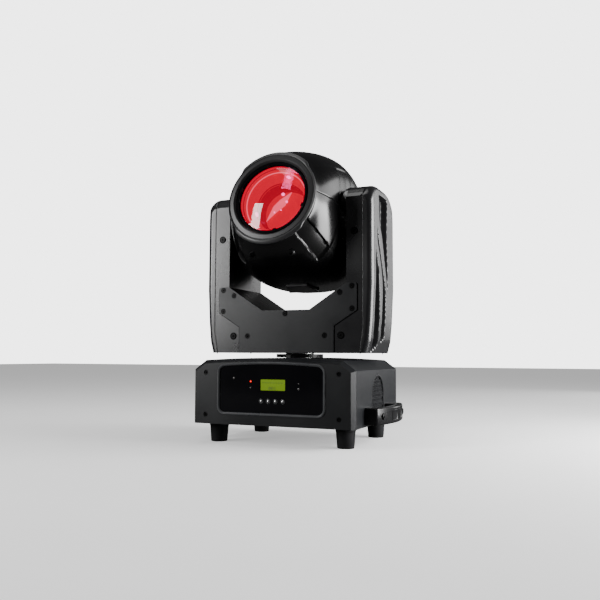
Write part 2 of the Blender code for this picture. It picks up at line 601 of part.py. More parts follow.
# ---------------------------------------------------------------- head
def head_form(name, shrink, front, rear, group_name):
    """The head's outline solid: a turned barrel trimmed by cones about the tilt axis."""
    barrel = [(r - shrink, -s) for s, r in BARREL]
    barrel[0] = (barrel[0][0], -front)
    barrel[-1] = (barrel[-1][0], -rear)
    profile = [(0, barrel[-1][1]), *reversed(barrel), (0, barrel[0][1])]
    made = turned(name, profile, "Y", steps=HEAD_STEPS, parent=tilt)
    trim = shrink * 1.25
    side = HEAD_SIDE_X - shrink
    right = [(r - trim, x) for x, r in CHEEK[1:-1]] + [(CHEEK[-1][1] - trim + shrink * 0.8, side)]
    cone = [(0, side), *[(r, x) for r, x in reversed(right)], *[(r, -x) for r, x in right], (0, -side)]
    return combine(made, turned(group_name, cone, "X", steps=HEAD_STEPS, parent=tilt), "INTERSECT")


for name, low, high in (("upper", SPLIT_T + 0.2, 120), ("lower", -120, SPLIT_T - 0.2)):
    shell = head_form(f"head_{name}_shell", 0, HEAD_FRONT, HEAD_REAR, f"form_{name}_cone")
    keep(shell, shell.name, GLOSS, tilt)
    hollow = head_form(f"form_{name}_inside", SHELL, HEAD_FRONT + 5, HEAD_REAR - 5, f"form_{name}_inside_cone")
    half = box(f"form_{name}_half", (-120, -120, low), (120, 120, high), parent=tilt)
    hubs = disc(f"form_{name}_hubs", HUB_R + 1.1, -100, 100, "X", steps=20, parent=tilt)
    combine(shell, half, "INTERSECT")
    cut(shell, hollow, hubs)

BEZEL_R = 64.5
turned("head_bezel", ((BEZEL_R, -HEAD_FRONT - GAP), (BEZEL_R, -98.5), (61.5, -102), (54, -102), (52.6, -98.5),
                      (51.2, -98.5), (51.2, -HEAD_FRONT - GAP)), "Y", steps=40, mat=MATTE, parent=tilt)
ring("lens_retaining_ring", 46, 50.9, -101, -96.2, "Y", steps=48, mat=GLOSS, parent=tilt)
DOME_EDGE, DOME_RISE, LENS_APERTURE = 96.4, 8.0, 45.6
dome = [(LENS_APERTURE * k / 4, -DOME_EDGE - DOME_RISE * (1 - (k / 4) ** 2)) for k in range(4, -1, -1)]
turned("front_lens", ((0, -90.5), (49.0, -90.5), (49.0, -95.9), (LENS_APERTURE, -95.9), *dome), "Y",
       steps=32, mat=GLASS, parent=tilt)

rear_vents = [circle(36 * math.cos(a), 36 * math.sin(a), 8.2, 12)
              for a in (math.radians(45 * i) for i in range(8))]
plate("head_rear_cover", [circle(0, 0, 55.4, 48), circle(0, 0, 9, 16), *rear_vents], "XZ",
      -HEAD_REAR - 4, -HEAD_REAR - 1, MATTE, tilt)

for side, name in ((-1, "left"), (1, "right")):
    end = side * 106.5 if side > 0 else side * 98.5
    turned(f"tilt_hub_{name}", ((HUB_R, side * 70.6), (23, side * 70.6), (23, side * 67.0), (HUB_BORE, side * 67.0),
                                (HUB_BORE, end), (HUB_R, end)), "X", steps=24, mat=STEEL, parent=tilt)
flanged("tilt_wheel", TILT_WHEEL_R, TILT_BELT_IN - 1, TILT_BELT_OUT + 1, "X", (0, 0, 0), HUB_R + GAP, 3, tilt)

# U-shaped optical frame between the hubs, with a bulkhead across the beam
optics = [(-66.6, 40), (-66.6, -38), (66.6, -38), (66.6, 40), (63.6, 40), (63.6, -35), (-63.6, -35), (-63.6, 40)]
cut(plate("head_chassis", [optics], "XY", -25, 25, ALUMINIUM, tilt),
    disc("cut_chassis_beam", 22, -50, -20, "Y", steps=24, parent=tilt),
    disc("cut_chassis_hubs", HUB_R - 2, -80, 80, "X", steps=24, parent=tilt))

reflector = [(28, 38), (28.9, 38), (25, 50), (18, 58), (10.5, 62.5), (9.5, 62.5), (9.5, 61), (17, 56.6), (23.8, 49)]
turned("lamp_reflector", [(r, s) for r, s in reversed(reflector)], "Y", steps=32, mat=STEEL, parent=tilt)
turned("discharge_lamp", ((0, 76), (8.5, 76), (8.5, 60), (5.5, 59), (5.5, 47), (2, 43), (0, 43)), "Y",
       steps=20, mat=CLEAR, parent=tilt)

# Wheels in the beam: a disc with round windows, turned by its own small motor
WHEELS = (("colour_wheel", -33.0, 40.0, 29.0, 9, CLEAR), ("gobo_wheel", 33.0, 38.0, 18.0, 8, ALUMINIUM))
for name, centre_t, radius, rear, windows, mat in WHEELS:
    axis = empty(f"{name}_axis", tilt)
    axis.location = (0, 0, centre_t * MM)
    ports = [circle(27 * math.cos(a), 27 * math.sin(a), 7.0, 12)
             for a in (2 * math.pi * (i + 0.25) / windows for i in range(windows))]
    plate(name, [circle(0, 0, radius, 40), circle(0, 0, 2.6, 10), *ports], "XZ", rear, rear + 1.6, mat, axis)
    motor = disc(f"{name}_motor", 10, rear - 17, rear - 1.5, "Y", (0, 0, centre_t), 20, mat=STEEL, parent=tilt)
    join(motor, disc(f"{name}_spindle", 2.2, rear - 3, rear + 2.5, "Y", (0, 0, centre_t), 12, parent=tilt))

# Dimmer blade: a flag that swings across the beam between lamp and colour wheel
BLADE_SWING = 48.0
blade_axis = empty("dimmer_axis", tilt)
blade_axis.location = (-46 * MM, 0, 0)
blade_axis.rotation_euler = (0, math.radians(-BLADE_SWING), 0)
blade = [(-5, -5), (8, -6), (30, -9)] + [(46 + 16 * math.cos(a), 16 * math.sin(a)) for a in
                                         (math.radians(-150 + 30 * i) for i in range(11))] + [(30, 9), (8, 6), (-5, 5)]
plate("dimmer_blade", [blade], "XZ", 33.6, 34.8, STEEL, blade_axis)

# Focusing lens in its sliding cell
focus_axis = empty("focus_slide", tilt)
turned("focus_lens", ((0, -52), (20, -50.5), (26, -50.5), (26, -57.5), (20, -57.5), (0, -60)), "Y", steps=32,
       mat=CLEAR, parent=focus_axis)

head_fan_axis = empty("head_fan_axis", tilt)
fan("head_fan", "Y", (0, 0, 0), 30, 80, 90, head_fan_axis)
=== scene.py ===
"""A compact moving head light: cast base, forked yoke and tilting head with a red beam.

Lengths are in millimetres and become metres where a mesh is made. The floor is Z = 0, the pan axis is Z,
and the beam leaves towards -Y.
"""
import math

import bmesh
import bpy
import numpy as np
from mathutils import Matrix, Vector


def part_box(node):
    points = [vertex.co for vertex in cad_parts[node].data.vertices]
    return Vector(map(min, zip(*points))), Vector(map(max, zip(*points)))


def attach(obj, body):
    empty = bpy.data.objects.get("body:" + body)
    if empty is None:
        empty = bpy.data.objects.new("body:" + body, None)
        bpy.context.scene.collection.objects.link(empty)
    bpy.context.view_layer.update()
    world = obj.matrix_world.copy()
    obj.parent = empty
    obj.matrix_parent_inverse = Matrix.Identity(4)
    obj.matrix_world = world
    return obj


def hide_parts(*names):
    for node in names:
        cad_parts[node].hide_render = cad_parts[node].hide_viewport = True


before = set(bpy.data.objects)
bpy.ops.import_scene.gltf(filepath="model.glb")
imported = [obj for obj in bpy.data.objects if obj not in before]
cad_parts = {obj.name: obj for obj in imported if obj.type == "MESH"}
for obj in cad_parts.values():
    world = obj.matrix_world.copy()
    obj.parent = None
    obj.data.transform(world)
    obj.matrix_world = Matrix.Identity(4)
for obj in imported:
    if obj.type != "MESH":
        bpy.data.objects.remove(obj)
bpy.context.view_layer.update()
MM = 0.001

# Camera: below the head's height, to the right of the light, so the right arm and side wall show.
CAMERA_AT = Vector((380.5, -891.0, 116.6))
YAW, PITCH, ROLL = math.radians(23.13), math.radians(4.60), math.radians(0.21)
ahead = Vector((-math.sin(YAW) * math.cos(PITCH), math.cos(YAW) * math.cos(PITCH), math.sin(PITCH)))
level = Vector((math.cos(YAW), math.sin(YAW), 0))
above = level.cross(ahead)
camera_x = math.cos(ROLL) * level + math.sin(ROLL) * above
camera_y = math.cos(ROLL) * above - math.sin(ROLL) * level
camera_data = bpy.data.cameras.new("camera")
camera_data.lens = 41.08
camera_data.sensor_width = 36
camera = bpy.data.objects.new("camera", camera_data)
bpy.context.scene.collection.objects.link(camera)
camera_turn = Matrix((camera_x, camera_y, -ahead)).transposed().to_4x4()
camera.matrix_world = Matrix.Translation(CAMERA_AT * MM) @ camera_turn
bpy.context.scene.camera = camera


# Studio: a pale floor, a pale surround and five soft panels that draw highlights on the black shells.
def soft_panel(name, at, target, width, height, power):
    data = bpy.data.lights.new(name, "AREA")
    data.shape = "RECTANGLE"
    data.size, data.size_y, data.energy = width, height, power
    lamp = bpy.data.objects.new(name, data)
    bpy.context.scene.collection.objects.link(lamp)
    lamp.location = at
    lamp.rotation_euler = (Vector(target) - Vector(at)).to_track_quat("-Z", "Y").to_euler()
    lamp.visible_camera = False


soft_panel("panel_left", (-0.885, -1.035, 0.58), (-0.1, 0, 0.25), 0.28, 0.75, 17)
soft_panel("panel_right", (1.25, 0.50, 0.75), (0, 0, 0.28), 1.4, 0.9, 17)
soft_panel("panel_low_right", (0.74, 0.13, 0.27), (0.05, 0, 0.30), 0.5, 0.50, 15)
soft_panel("panel_back", (0.62, 1.45, 0.55), (0, 0, 0.25), 0.35, 0.9, 2.6)
soft_panel("panel_top", (-0.3, -0.2, 1.7), (0, 0, 0.1), 0.8, 0.6, 4)
world = bpy.data.worlds.new("studio")
world.use_nodes = True
nodes, links = world.node_tree.nodes, world.node_tree.links
fill = nodes["Background"]
fill.inputs["Color"].default_value = (1, 1, 1, 1)
fill.inputs["Strength"].default_value = 0.07
backdrop = nodes.new("ShaderNodeBackground")
backdrop.inputs["Color"].default_value = (1, 1, 1, 1)
backdrop.inputs["Strength"].default_value = 4.0
seen, choose = nodes.new("ShaderNodeLightPath"), nodes.new("ShaderNodeMixShader")
links.new(seen.outputs["Is Camera Ray"], choose.inputs["Fac"])
links.new(fill.outputs[0], choose.inputs[1])
links.new(backdrop.outputs[0], choose.inputs[2])
links.new(choose.outputs[0], nodes["World Output"].inputs["Surface"])
bpy.context.scene.world = world


def place(bm, name, material, body, smooth=30, replaces=(), slot=None):
    """Weld a bmesh drawn in metres, shade it, and hang it on its body."""
    bmesh.ops.remove_doubles(bm, verts=bm.verts, dist=0.000005)
    bmesh.ops.recalc_face_normals(bm, faces=bm.faces)
    mesh = bpy.data.meshes.new(name)
    bm.to_mesh(mesh)
    bm.free()
    mesh.materials.append(material)
    mesh.shade_smooth()
    mesh.set_sharp_from_angle(angle=math.radians(smooth))
    piece = bpy.data.objects.new(name, mesh)
    bpy.context.scene.collection.objects.link(piece)
    if body is None:
        return piece
    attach(piece, body)
    if replaces:
        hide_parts(*replaces)
    return piece


def finish_of(name, colour, roughness, metallic=0.0, grain=0.0, grain_size=0.6, mottling=0.12, coat=0.0,
              smears=0.05, sheen=0.5):
    """A paint, plastic or metal: grain in the bump, slow mottling in the colour, smears in the roughness."""
    made = bpy.data.materials.new(name)
    made.use_nodes = True
    nodes, links = made.node_tree.nodes, made.node_tree.links
    shader = nodes["Principled BSDF"]
    shader.inputs["Metallic"].default_value = metallic
    shader.inputs["Specular IOR Level"].default_value = sheen
    shader.inputs["Coat Weight"].default_value = coat
    shader.inputs["Coat Roughness"].default_value = 0.08
    where = nodes.new("ShaderNodeTexCoord")

    def noise(size, detail):
        made_noise = nodes.new("ShaderNodeTexNoise")
        made_noise.inputs["Scale"].default_value = 1 / (size * MM)
        made_noise.inputs["Detail"].default_value = detail
        links.new(where.outputs["Object"], made_noise.inputs["Vector"])
        return made_noise.outputs["Fac"]

    def spread(source, low, high):
        made_range = nodes.new("ShaderNodeMapRange")
        made_range.inputs["From Min"].default_value, made_range.inputs["From Max"].default_value = 0.3, 0.7
        made_range.inputs["To Min"].default_value, made_range.inputs["To Max"].default_value = low, high
        links.new(source, made_range.inputs["Value"])
        return made_range.outputs["Result"]

    mix = nodes.new("ShaderNodeMix")
    mix.data_type = "RGBA"
    mix.inputs["A"].default_value = (*[c * (1 - mottling) for c in colour], 1)
    mix.inputs["B"].default_value = (*[min(1, c * (1 + mottling)) for c in colour], 1)
    links.new(spread(noise(24, 3), 0, 1), mix.inputs["Factor"])
    links.new(mix.outputs["Result"], shader.inputs["Base Color"])
    links.new(spread(noise(55, 4), roughness - smears, roughness + smears), shader.inputs["Roughness"])
    if grain:
        bump = nodes.new("ShaderNodeBump")
        bump.inputs["Strength"].default_value = grain
        bump.inputs["Distance"].default_value = 0.15 * MM
        links.new(noise(grain_size, 2), bump.inputs["Height"])
        links.new(bump.outputs["Normal"], shader.inputs["Normal"])
    return made


bm = bmesh.new()
bmesh.ops.create_grid(bm, x_segments=1, y_segments=1, size=6)
floor_paint = finish_of("studio_floor", (0.86, 0.86, 0.86), 0.6, mottling=0.004)
nodes, links = floor_paint.node_tree.nodes, floor_paint.node_tree.links
nodes["Principled BSDF"].inputs["Emission Color"].default_value = (1, 1, 1, 1)
nodes["Principled BSDF"].inputs["Emission Strength"].default_value = 0.45
# the black shells see a darker floor than the camera does, as they do over a flagged studio table
dim_floor = nodes.new("ShaderNodeBsdfDiffuse")
dim_floor.inputs["Color"].default_value = (0.10, 0.10, 0.10, 1)
seen, choose = nodes.new("ShaderNodeLightPath"), nodes.new("ShaderNodeMixShader")
links.new(seen.outputs["Is Camera Ray"], choose.inputs["Fac"])
links.new(dim_floor.outputs[0], choose.inputs[1])
links.new(nodes["Principled BSDF"].outputs[0], choose.inputs[2])
links.new(choose.outputs[0], nodes["Material Output"].inputs["Surface"])
place(bm, "studio_floor", floor_paint, None)

# Powder-coated castings: the base housing and the yoke carry a fine-grained satin black coat. The small
# inner metal parts are zinc plated or plain aluminium, and the drive belts are rubber.
powder_coat = finish_of("black_powder_coat", (0.008, 0.0086, 0.0098), 0.36, grain=0.35, grain_size=0.7,
                        sheen=0.35)
satin_casting = finish_of("satin_casting", (0.008, 0.008, 0.009), 0.27, grain=0.2, grain_size=0.7, sheen=0.55)
moulded_black = finish_of("moulded_black", (0.006, 0.006, 0.0065), 0.32, grain=0.12, grain_size=0.9,
                          sheen=0.2)
zinc = finish_of("zinc_plate", (0.55, 0.55, 0.54), 0.36, 1.0, grain=0.1)
bare_aluminium = finish_of("bare_aluminium", (0.72, 0.73, 0.74), 0.38, 1.0, grain=0.15)
rubber_black = finish_of("black_rubber", (0.018, 0.018, 0.019), 0.62, grain=0.4, grain_size=0.8, sheen=0.1)
gloss_black = finish_of("gloss_black", (0.004, 0.004, 0.005), 0.10, coat=0.0, smears=0.03, sheen=0.22)
green_board = finish_of("board_green", (0.02, 0.13, 0.06), 0.4, grain=0.1)
clear_glass = finish_of("optical_glass", (0.8, 0.9, 0.9), 0.05, mottling=0.02, smears=0.01)
FINISHES = {
    powder_coat: ("base_housing", "base_front_cover", "base_rear_cover", "yoke_front_plate",
                  "yoke_rear_plate"),
    satin_casting: ("yoke_frame",),
    moulded_black: ("head_fan", "pan_collar"),
    zinc: ("base_bottom_plate", "pan_support_bracket", "pan_shaft", "signal_input_socket",
           "signal_output_socket", "pan_bearing", "tilt_bearing_left", "tilt_bearing_right", "pan_motor",
           "tilt_motor", "tilt_hub_left", "tilt_hub_right", "lamp_reflector", "colour_wheel_motor",
           "gobo_wheel_motor", "dimmer_blade"),
    bare_aluminium: ("power_supply", "lamp_ballast", "pan_motor_pulley", "tilt_motor_pulley", "tilt_wheel",
                     "head_chassis", "gobo_wheel"),
    gloss_black: ("control_panel", "power_inlet"),
    green_board: ("control_board",),
    rubber_black: ("pan_belt", "tilt_belt"),
    clear_glass: ("discharge_lamp", "colour_wheel"),
}
for finish, names in FINISHES.items():
    for name in names:
        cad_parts[name].material_slots[0].material = finish


def lathe(name, profile, material, body, matrix, steps=96, smooth=30, **more):
    """Turn a (radius, height) profile about the local Z axis; a profile end at radius 0 closes the form."""
    bm = bmesh.new()
    rings = []
    for radius, height in profile:
        if radius == 0:
            rings.append([bm.verts.new((0, 0, height * MM))] * steps)
        else:
            rings.append([bm.verts.new((radius * MM * math.cos(2 * math.pi * i / steps),
                                        radius * MM * math.sin(2 * math.pi * i / steps), height * MM))
                          for i in range(steps)])
    pairs = list(zip(rings, rings[1:]))
    if profile[0][0] and profile[-1][0]:
        pairs.append((rings[-1], rings[0]))
    for lower, upper in pairs:
        for i in range(steps):
            j = (i + 1) % steps
            corners = list(dict.fromkeys((lower[i], lower[j], upper[j], upper[i])))
            if len(corners) > 2:
                bm.faces.new(corners)
    bm.transform(matrix)
    return place(bm, name, material, body, smooth, **more)


def at(x, y, z):
    return Matrix.Translation(Vector((x, y, z)) * MM)


FACING = {"+X": Matrix.Rotation(math.radians(90), 4, "Y"), "-X": Matrix.Rotation(math.radians(-90), 4, "Y"),
          "+Y": Matrix.Rotation(math.radians(-90), 4, "X"), "-Y": Matrix.Rotation(math.radians(90), 4, "X"),
          "+Z": Matrix.Identity(4)}

# Feet: four tapered rubber feet, each moulded in one piece with a collar at the top. A screw in the recess
# below holds each one to the bottom plate.
for across in ("left", "right"):
    for along in ("front", "rear"):
        node = f"foot_{along}_{across}"
        low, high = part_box(node)
        top = high[2] / MM
        outline = [(4.5, 13), (4.5, 0), (10, 0), (10.6, 0.2), (11, 0.8), (12.6, top - 5), (13.1, top - 4.4),
                   (13.1, top - 0.6), (12.6, top), (0, top), (0, 13)]
        lathe(f"{node}_rubber", outline, rubber_black, "base",
              at((low[0] + high[0]) / 2 / MM, (low[1] + high[1]) / 2 / MM, 0), 64, replaces=[node])


# Screws: black steel machine screws with a hexagonal socket, each on a wider near-black disc that is painted
# shade for its recess. One tree sets a whole row, and turns every head by a different amount, as driven
# screws are.
def screw_tree():
    tree = bpy.data.node_groups.new("screw_row", "GeometryNodeTree")
    for label, kind in (("Places", "NodeSocketGeometry"), ("Radius", "NodeSocketFloat"),
                        ("Shade radius", "NodeSocketFloat"), ("Finish", "NodeSocketMaterial"),
                        ("Shade finish", "NodeSocketMaterial")):
        tree.interface.new_socket(label, in_out="INPUT", socket_type=kind)
    tree.interface.new_socket("Geometry", in_out="OUTPUT", socket_type="NodeSocketGeometry")
    add, link = tree.nodes.new, tree.links.new
    given, result = add("NodeGroupInput"), add("NodeGroupOutput")

    def drum(radius, sides, depth, lift):
        made, raised = add("GeometryNodeMeshCylinder"), add("GeometryNodeTransform")
        made.inputs["Vertices"].default_value = sides
        made.inputs["Depth"].default_value = depth * MM
        raised.inputs["Translation"].default_value = (0, 0, lift * MM)
        link(radius, made.inputs["Radius"])
        link(made.outputs["Mesh"], raised.inputs["Geometry"])
        return raised.outputs["Geometry"]

    def painted(mesh, finish):
        paint = add("GeometryNodeSetMaterial")
        link(mesh, paint.inputs["Geometry"])
        link(given.outputs[finish], paint.inputs["Material"])
        return paint.outputs[0]

    half = add("ShaderNodeMath")
    half.operation = "MULTIPLY"
    half.inputs[1].default_value = 0.5
    link(given.outputs["Radius"], half.inputs[0])
    cut, both = add("GeometryNodeMeshBoolean"), add("GeometryNodeJoinGeometry")
    cut.operation = "DIFFERENCE"
    link(drum(given.outputs["Radius"], 20, 1.0, 0.1), cut.inputs["Mesh 1"])
    link(drum(half.outputs[0], 6, 1.2, 0.7), cut.inputs["Mesh 2"])
    link(painted(cut.outputs[0], "Finish"), both.inputs[0])
    # the wider near-black disc under each head is painted shade for the screw's recess
    link(painted(drum(given.outputs["Shade radius"], 24, 0.8, -0.2), "Shade finish"), both.inputs[0])
    spin = add("FunctionNodeRandomValue")
    spin.data_type = "FLOAT"
    spin.inputs[3].default_value = 6.28
    spin.inputs["Seed"].default_value = 3
    turn = add("ShaderNodeCombineXYZ")
    link(spin.outputs[1], turn.inputs["Z"])
    facing = add("FunctionNodeAlignRotationToVector")
    facing.axis = "Z"
    normal = add("GeometryNodeInputNamedAttribute")
    normal.data_type = "FLOAT_VECTOR"
    normal.inputs["Name"].default_value = "looks"
    link(normal.outputs[0], facing.inputs["Vector"])
    copies = add("GeometryNodeInstanceOnPoints")
    link(given.outputs["Places"], copies.inputs["Points"])
    link(both.outputs[0], copies.inputs["Instance"])
    link(facing.outputs[0], copies.inputs["Rotation"])
    twist, real = add("GeometryNodeRotateInstances"), add("GeometryNodeRealizeInstances")
    link(copies.outputs[0], twist.inputs["Instances"])
    link(turn.outputs[0], twist.inputs["Rotation"])
    link(twist.outputs[0], real.inputs[0])
    link(real.outputs[0], result.inputs[0])
    return tree


SCREW_TREE = screw_tree()
screw_black = finish_of("black_oxide_screw", (0.002, 0.002, 0.0022), 0.35, smears=0.05, sheen=0.12)
# near-black finish that is painted shade: under the screws, behind the vent openings and round the yoke
# plates
shade_black = finish_of("painted_shade_black", (0.001, 0.001, 0.001), 0.7, smears=0.02, sheen=0.05)


def baked(piece, tree, values, body):
    """Run a tree on a piece, keep the plain mesh it makes and hang it on its body."""
    step = piece.modifiers.new("tree", "NODES")
    step.node_group = tree
    sockets = {item.name: item.identifier for item in tree.interface.items_tree if item.in_out == "INPUT"}
    for label, value in values.items():
        step[sockets[label]] = value
    evaluated = piece.evaluated_get(bpy.context.evaluated_depsgraph_get())
    mesh = bpy.data.meshes.new_from_object(evaluated)
    mesh.name = piece.name
    piece.modifiers.remove(step)
    piece.data = mesh
    mesh.set_sharp_from_angle(angle=math.radians(30))
    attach(piece, body)
    return piece


def places_mesh(name, places, facing):
    """Points at (x, y, z) places, each with the direction that its copy looks in."""
    mesh = bpy.data.meshes.new(name)
    mesh.from_pydata([(x * MM, y * MM, z * MM) for x, y, z in places], [], [])
    looks = mesh.attributes.new("looks", "FLOAT_VECTOR", "POINT")
    for entry in looks.data:
        entry.vector = FACING[facing] @ Vector((0, 0, 1))
    holder = bpy.data.objects.new(name, mesh)
    bpy.context.scene.collection.objects.link(holder)
    return holder


SHADE_TO_HEAD = 1.45


def screws(name, places, facing, radius, body):
    """Set screws at (x, y, z) places, all looking the same way."""
    return baked(places_mesh(name, places, facing), SCREW_TREE,
                 {"Radius": radius * MM, "Shade radius": radius * SHADE_TO_HEAD * MM, "Finish": screw_black,
                  "Shade finish": shade_black}, body)


# Cover screws: four in the front cover and four in the rear cover. Each stands in a round moulded cup, and
# fixes its cover to the base housing.
COVER_CORNERS = [(sx * 93.8, z) for sx in (-1, 1) for z in (38.2, 93.5)]
screws("front_cover_screws", [(x, -96.6, z) for x, z in COVER_CORNERS], "-Y", 2.7, "base")
screws("rear_cover_screws", [(x, 96.6, z) for x, z in COVER_CORNERS], "+Y", 2.7, "base")
COVER_CUP = [(0, 0.3), (3.25, 0.3), (3.25, 2.1), (3.0, 2.3), (2.9, 0.6), (0, 0.6)]
for i, (x, z) in enumerate(COVER_CORNERS):
    for facing, y, end in (("-Y", -95.8, "front"), ("+Y", 95.8, "rear")):
        lathe(f"cover_cup_{i}_{end}", COVER_CUP, moulded_black, "base", at(x, y, z) @ FACING[facing], 24)


def arc_corners(corners, count=8):
    """Round the corners of an outline given as (x, y, radius)."""
    out = []
    for i, (x, y, radius) in enumerate(corners):
        here = Vector((x, y))
        before = (Vector(corners[i - 1][:2]) - here).normalized()
        after = (Vector(corners[(i + 1) % len(corners)][:2]) - here).normalized()
        if radius == 0:
            out.append((x, y))
            continue
        half = before.angle(after) / 2
        centre = here + (before + after).normalized() * radius / math.sin(half)
        start = here + before * radius / math.tan(half) - centre
        end = here + after * radius / math.tan(half) - centre
        sweep = start.angle_signed(end)
        for k in range(count + 1):
            spoke = start.copy()
            spoke.rotate(Matrix.Rotation(-sweep * k / count, 2))
            out.append(tuple(centre + spoke))
    return out


def rows_of(name, rows, material, body, smooth=30, around=False, ends=True, **more):
    """Skin rows of points, each row closed on itself; around joins the last row to the first."""
    bm = bmesh.new()
    made = [[bm.verts.new(Vector(point) * MM) for point in row] for row in rows]
    pairs = list(zip(made, made[1:])) + ([(made[-1], made[0])] if around else [])
    for lower, upper in pairs:
        for i in range(len(lower)):
            j = (i + 1) % len(lower)
            bm.faces.new((lower[i], lower[j], upper[j], upper[i]))
    if ends and not around:
        bm.faces.new(made[0])
        bm.faces.new(made[-1])
    return place(bm, name, material, body, smooth, **more)


# Control panel: a gloss black acrylic sheet behind the front cover, framed by a raised moulded lip whose
# lighter grey is a painted highlight. It carries the display, the keys and five small indicators, and has no
# lettering.
PANEL_Y = -97.0
WINDOW = (74.2, 40.8, 102.4, 3.4, 9.0)                # half width, bottom, side top, crown, corner radius


def panel_outline(grow, count=12):
    half, low, high, crown, corner = WINDOW
    half, low, high, corner = half + grow, low - grow, high + grow, corner + grow
    arch = [(half * (1 - 2 * i / count), high + crown * (1 - (1 - 2 * i / count) ** 2), 0)
            for i in range(1, count)]
    return arc_corners([(-half, low, corner), (half, low, corner), (half, high, corner), *arch,
                        (-half, high, corner)])


lip = [(1.9, -97.7), (1.9, -98.5), (1.2, -99.3), (0.2, -99.3), (-1.0, -98.6), (-1.5, -97.1), (0.5, -97.1)]
# lighter grey that paints the highlight along the raised lip and the key collars
lip_painted_highlight_grey = finish_of("lip_painted_highlight_grey", (0.06, 0.062, 0.066), 0.30, grain=0.15, sheen=0.5)
rows_of("panel_lip", [[(x, y, z) for x, z in panel_outline(grow)] for grow, y in lip], lip_painted_highlight_grey, "base",
        around=True)

lens_red = finish_of("indicator_red", (0.7, 0.01, 0.01), 0.2, smears=0.02)
lens_red.node_tree.nodes["Principled BSDF"].inputs["Emission Color"].default_value = (1, 0.02, 0.01, 1)
lens_red.node_tree.nodes["Principled BSDF"].inputs["Emission Strength"].default_value = 2.0
lens_dark = finish_of("indicator_dark", (0.11, 0.10, 0.10), 0.2, smears=0.02)
INDICATORS = ((-27.5, 82.5, 1.1, lens_red), (-27.5, 74.5, 1.1, lens_dark), (-52.0, 86.5, 1.5, lens_dark),
              (40.0, 80.5, 0.9, lens_dark), (40.0, 74.0, 1.4, lens_dark))
for i, (x, z, radius, glow) in enumerate(INDICATORS):
    lathe(f"indicator_{i}", [(0, -0.2), (radius, -0.2), (radius, 0.25), (radius * 0.7, 0.55), (0, 0.7)], glow,
          "base", at(x, PANEL_Y, z) @ FACING["-Y"], 24)

# Display: a two-row character module behind the panel, with a black moulded frame and a lit green face. Its
# characters are rows of dots, one small block for each.
low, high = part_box("lcd_display")
left, right, sill, head_z = low[0] / MM, high[0] / MM, low[2] / MM, high[2] / MM
display_green = finish_of("display_green", (0.09, 0.16, 0.002), 0.25, mottling=0.06, smears=0.03)
display_shader = display_green.node_tree.nodes["Principled BSDF"]
display_shader.inputs["Emission Color"].default_value = (0.34, 0.56, 0.003, 1)
display_shader.inputs["Emission Strength"].default_value = 0.28
face_outline = arc_corners([(left, sill, 0.8), (right, sill, 0.8), (right, head_z, 0.8),
                            (left, head_z, 0.8)], 4)
rows_of("display_face", [[(x, y, z) for x, z in face_outline] for y in (-90, -96.4)], display_green, "base",
        replaces=["lcd_display"])
frame_rows = [(0.3, -96.3), (0.3, -97.3), (-0.5, -97.3), (-1.0, -96.5), (-1.0, -96.3)]


def display_outline(grow):
    return arc_corners([(left - grow, sill - grow, 0.9), (right + grow, sill - grow, 0.9),
                        (right + grow, head_z + grow, 0.9), (left - grow, head_z + grow, 0.9)], 4)


rows_of("display_frame", [[(x, y, z) for x, z in display_outline(grow)] for grow, y in frame_rows],
        gloss_black, "base", around=True)
DIGITS = {"0": "01110 10001 10011 10101 11001 10001 01110", "1": "00100 01100 00100 00100 00100 00100 01110",
          "-": "00000 00000 00000 11111 00000 00000 00000"}
ink = finish_of("display_ink", (0.05, 0.09, 0.01), 0.4)
bm = bmesh.new()
DOT = 0.62
INK_BLOCK = Matrix.Diagonal((0.54 * MM, 0.12 * MM, 0.54 * MM, 1))
for text, start_z in (("--------", head_z - 3.4), ("001", head_z - 10.4)):
    begin = (left + right) / 2 - len(text) * 6 * DOT / 2
    for place_no, digit in enumerate(text):
        for row, bits in enumerate(DIGITS[digit].split()):
            for column, bit in enumerate(bits):
                if bit == "1":
                    x = begin + (place_no * 6 + column) * DOT
                    bmesh.ops.create_cube(bm, size=1, matrix=at(x, -96.45, start_z - row * DOT) @ INK_BLOCK)
place(bm, "display_characters", ink, "base")

# Keys: four bright plated push buttons with domed heads. Each has a wider foot behind the panel, stands in a
# moulded collar in the lip's painted highlight grey, and moves on its own spring-return slide.
key_silver = finish_of("key_silver", (0.6, 0.6, 0.6), 0.24, 0.9, smears=0.06)
KEY_DOME = [(0, 1.75), (0.9, 1.65), (1.5, 1.35), (2.0, 0.8), (2.1, 0.2), (2.1, -3.4), (3.0, -3.4),
            (3.0, -5.0), (0, -5.0)]
KEY_COLLAR = [(3.1, 0.05), (3.1, 0.5), (2.75, 0.65), (2.5, 0.4), (2.5, 0.05)]
for key in ("menu", "down", "up", "enter"):
    low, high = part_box(f"button_{key}")
    x, z = (low[0] + high[0]) / 2 / MM, (low[2] + high[2]) / 2 / MM
    seat = at(x, PANEL_Y, z) @ FACING["-Y"]
    lathe(f"key_{key}", KEY_DOME, key_silver, f"{key}_key", seat, 40, replaces=[f"button_{key}"])
    lathe(f"key_collar_{key}", KEY_COLLAR, lip_painted_highlight_grey, "base", seat, 40)


# Carrying handles: bowed bars of glass-filled nylon with an end block at each side of the grip. Two screws
# in round cups hold each handle, and two raised pads stand on its outer face.
HANDLE_WALL, HANDLE_END, HANDLE_BOW, HANDLE_HALF, HANDLE_Z = 114.3, 131.0, 10.5, 60.0, 39.7
GRIP_X, GRIP_HALF = 129.5, 31.5


def handle_face(y):
    """How far out the bowed outer face of a handle stands."""
    return HANDLE_END + HANDLE_BOW * (1 - (y / HANDLE_HALF) ** 2)


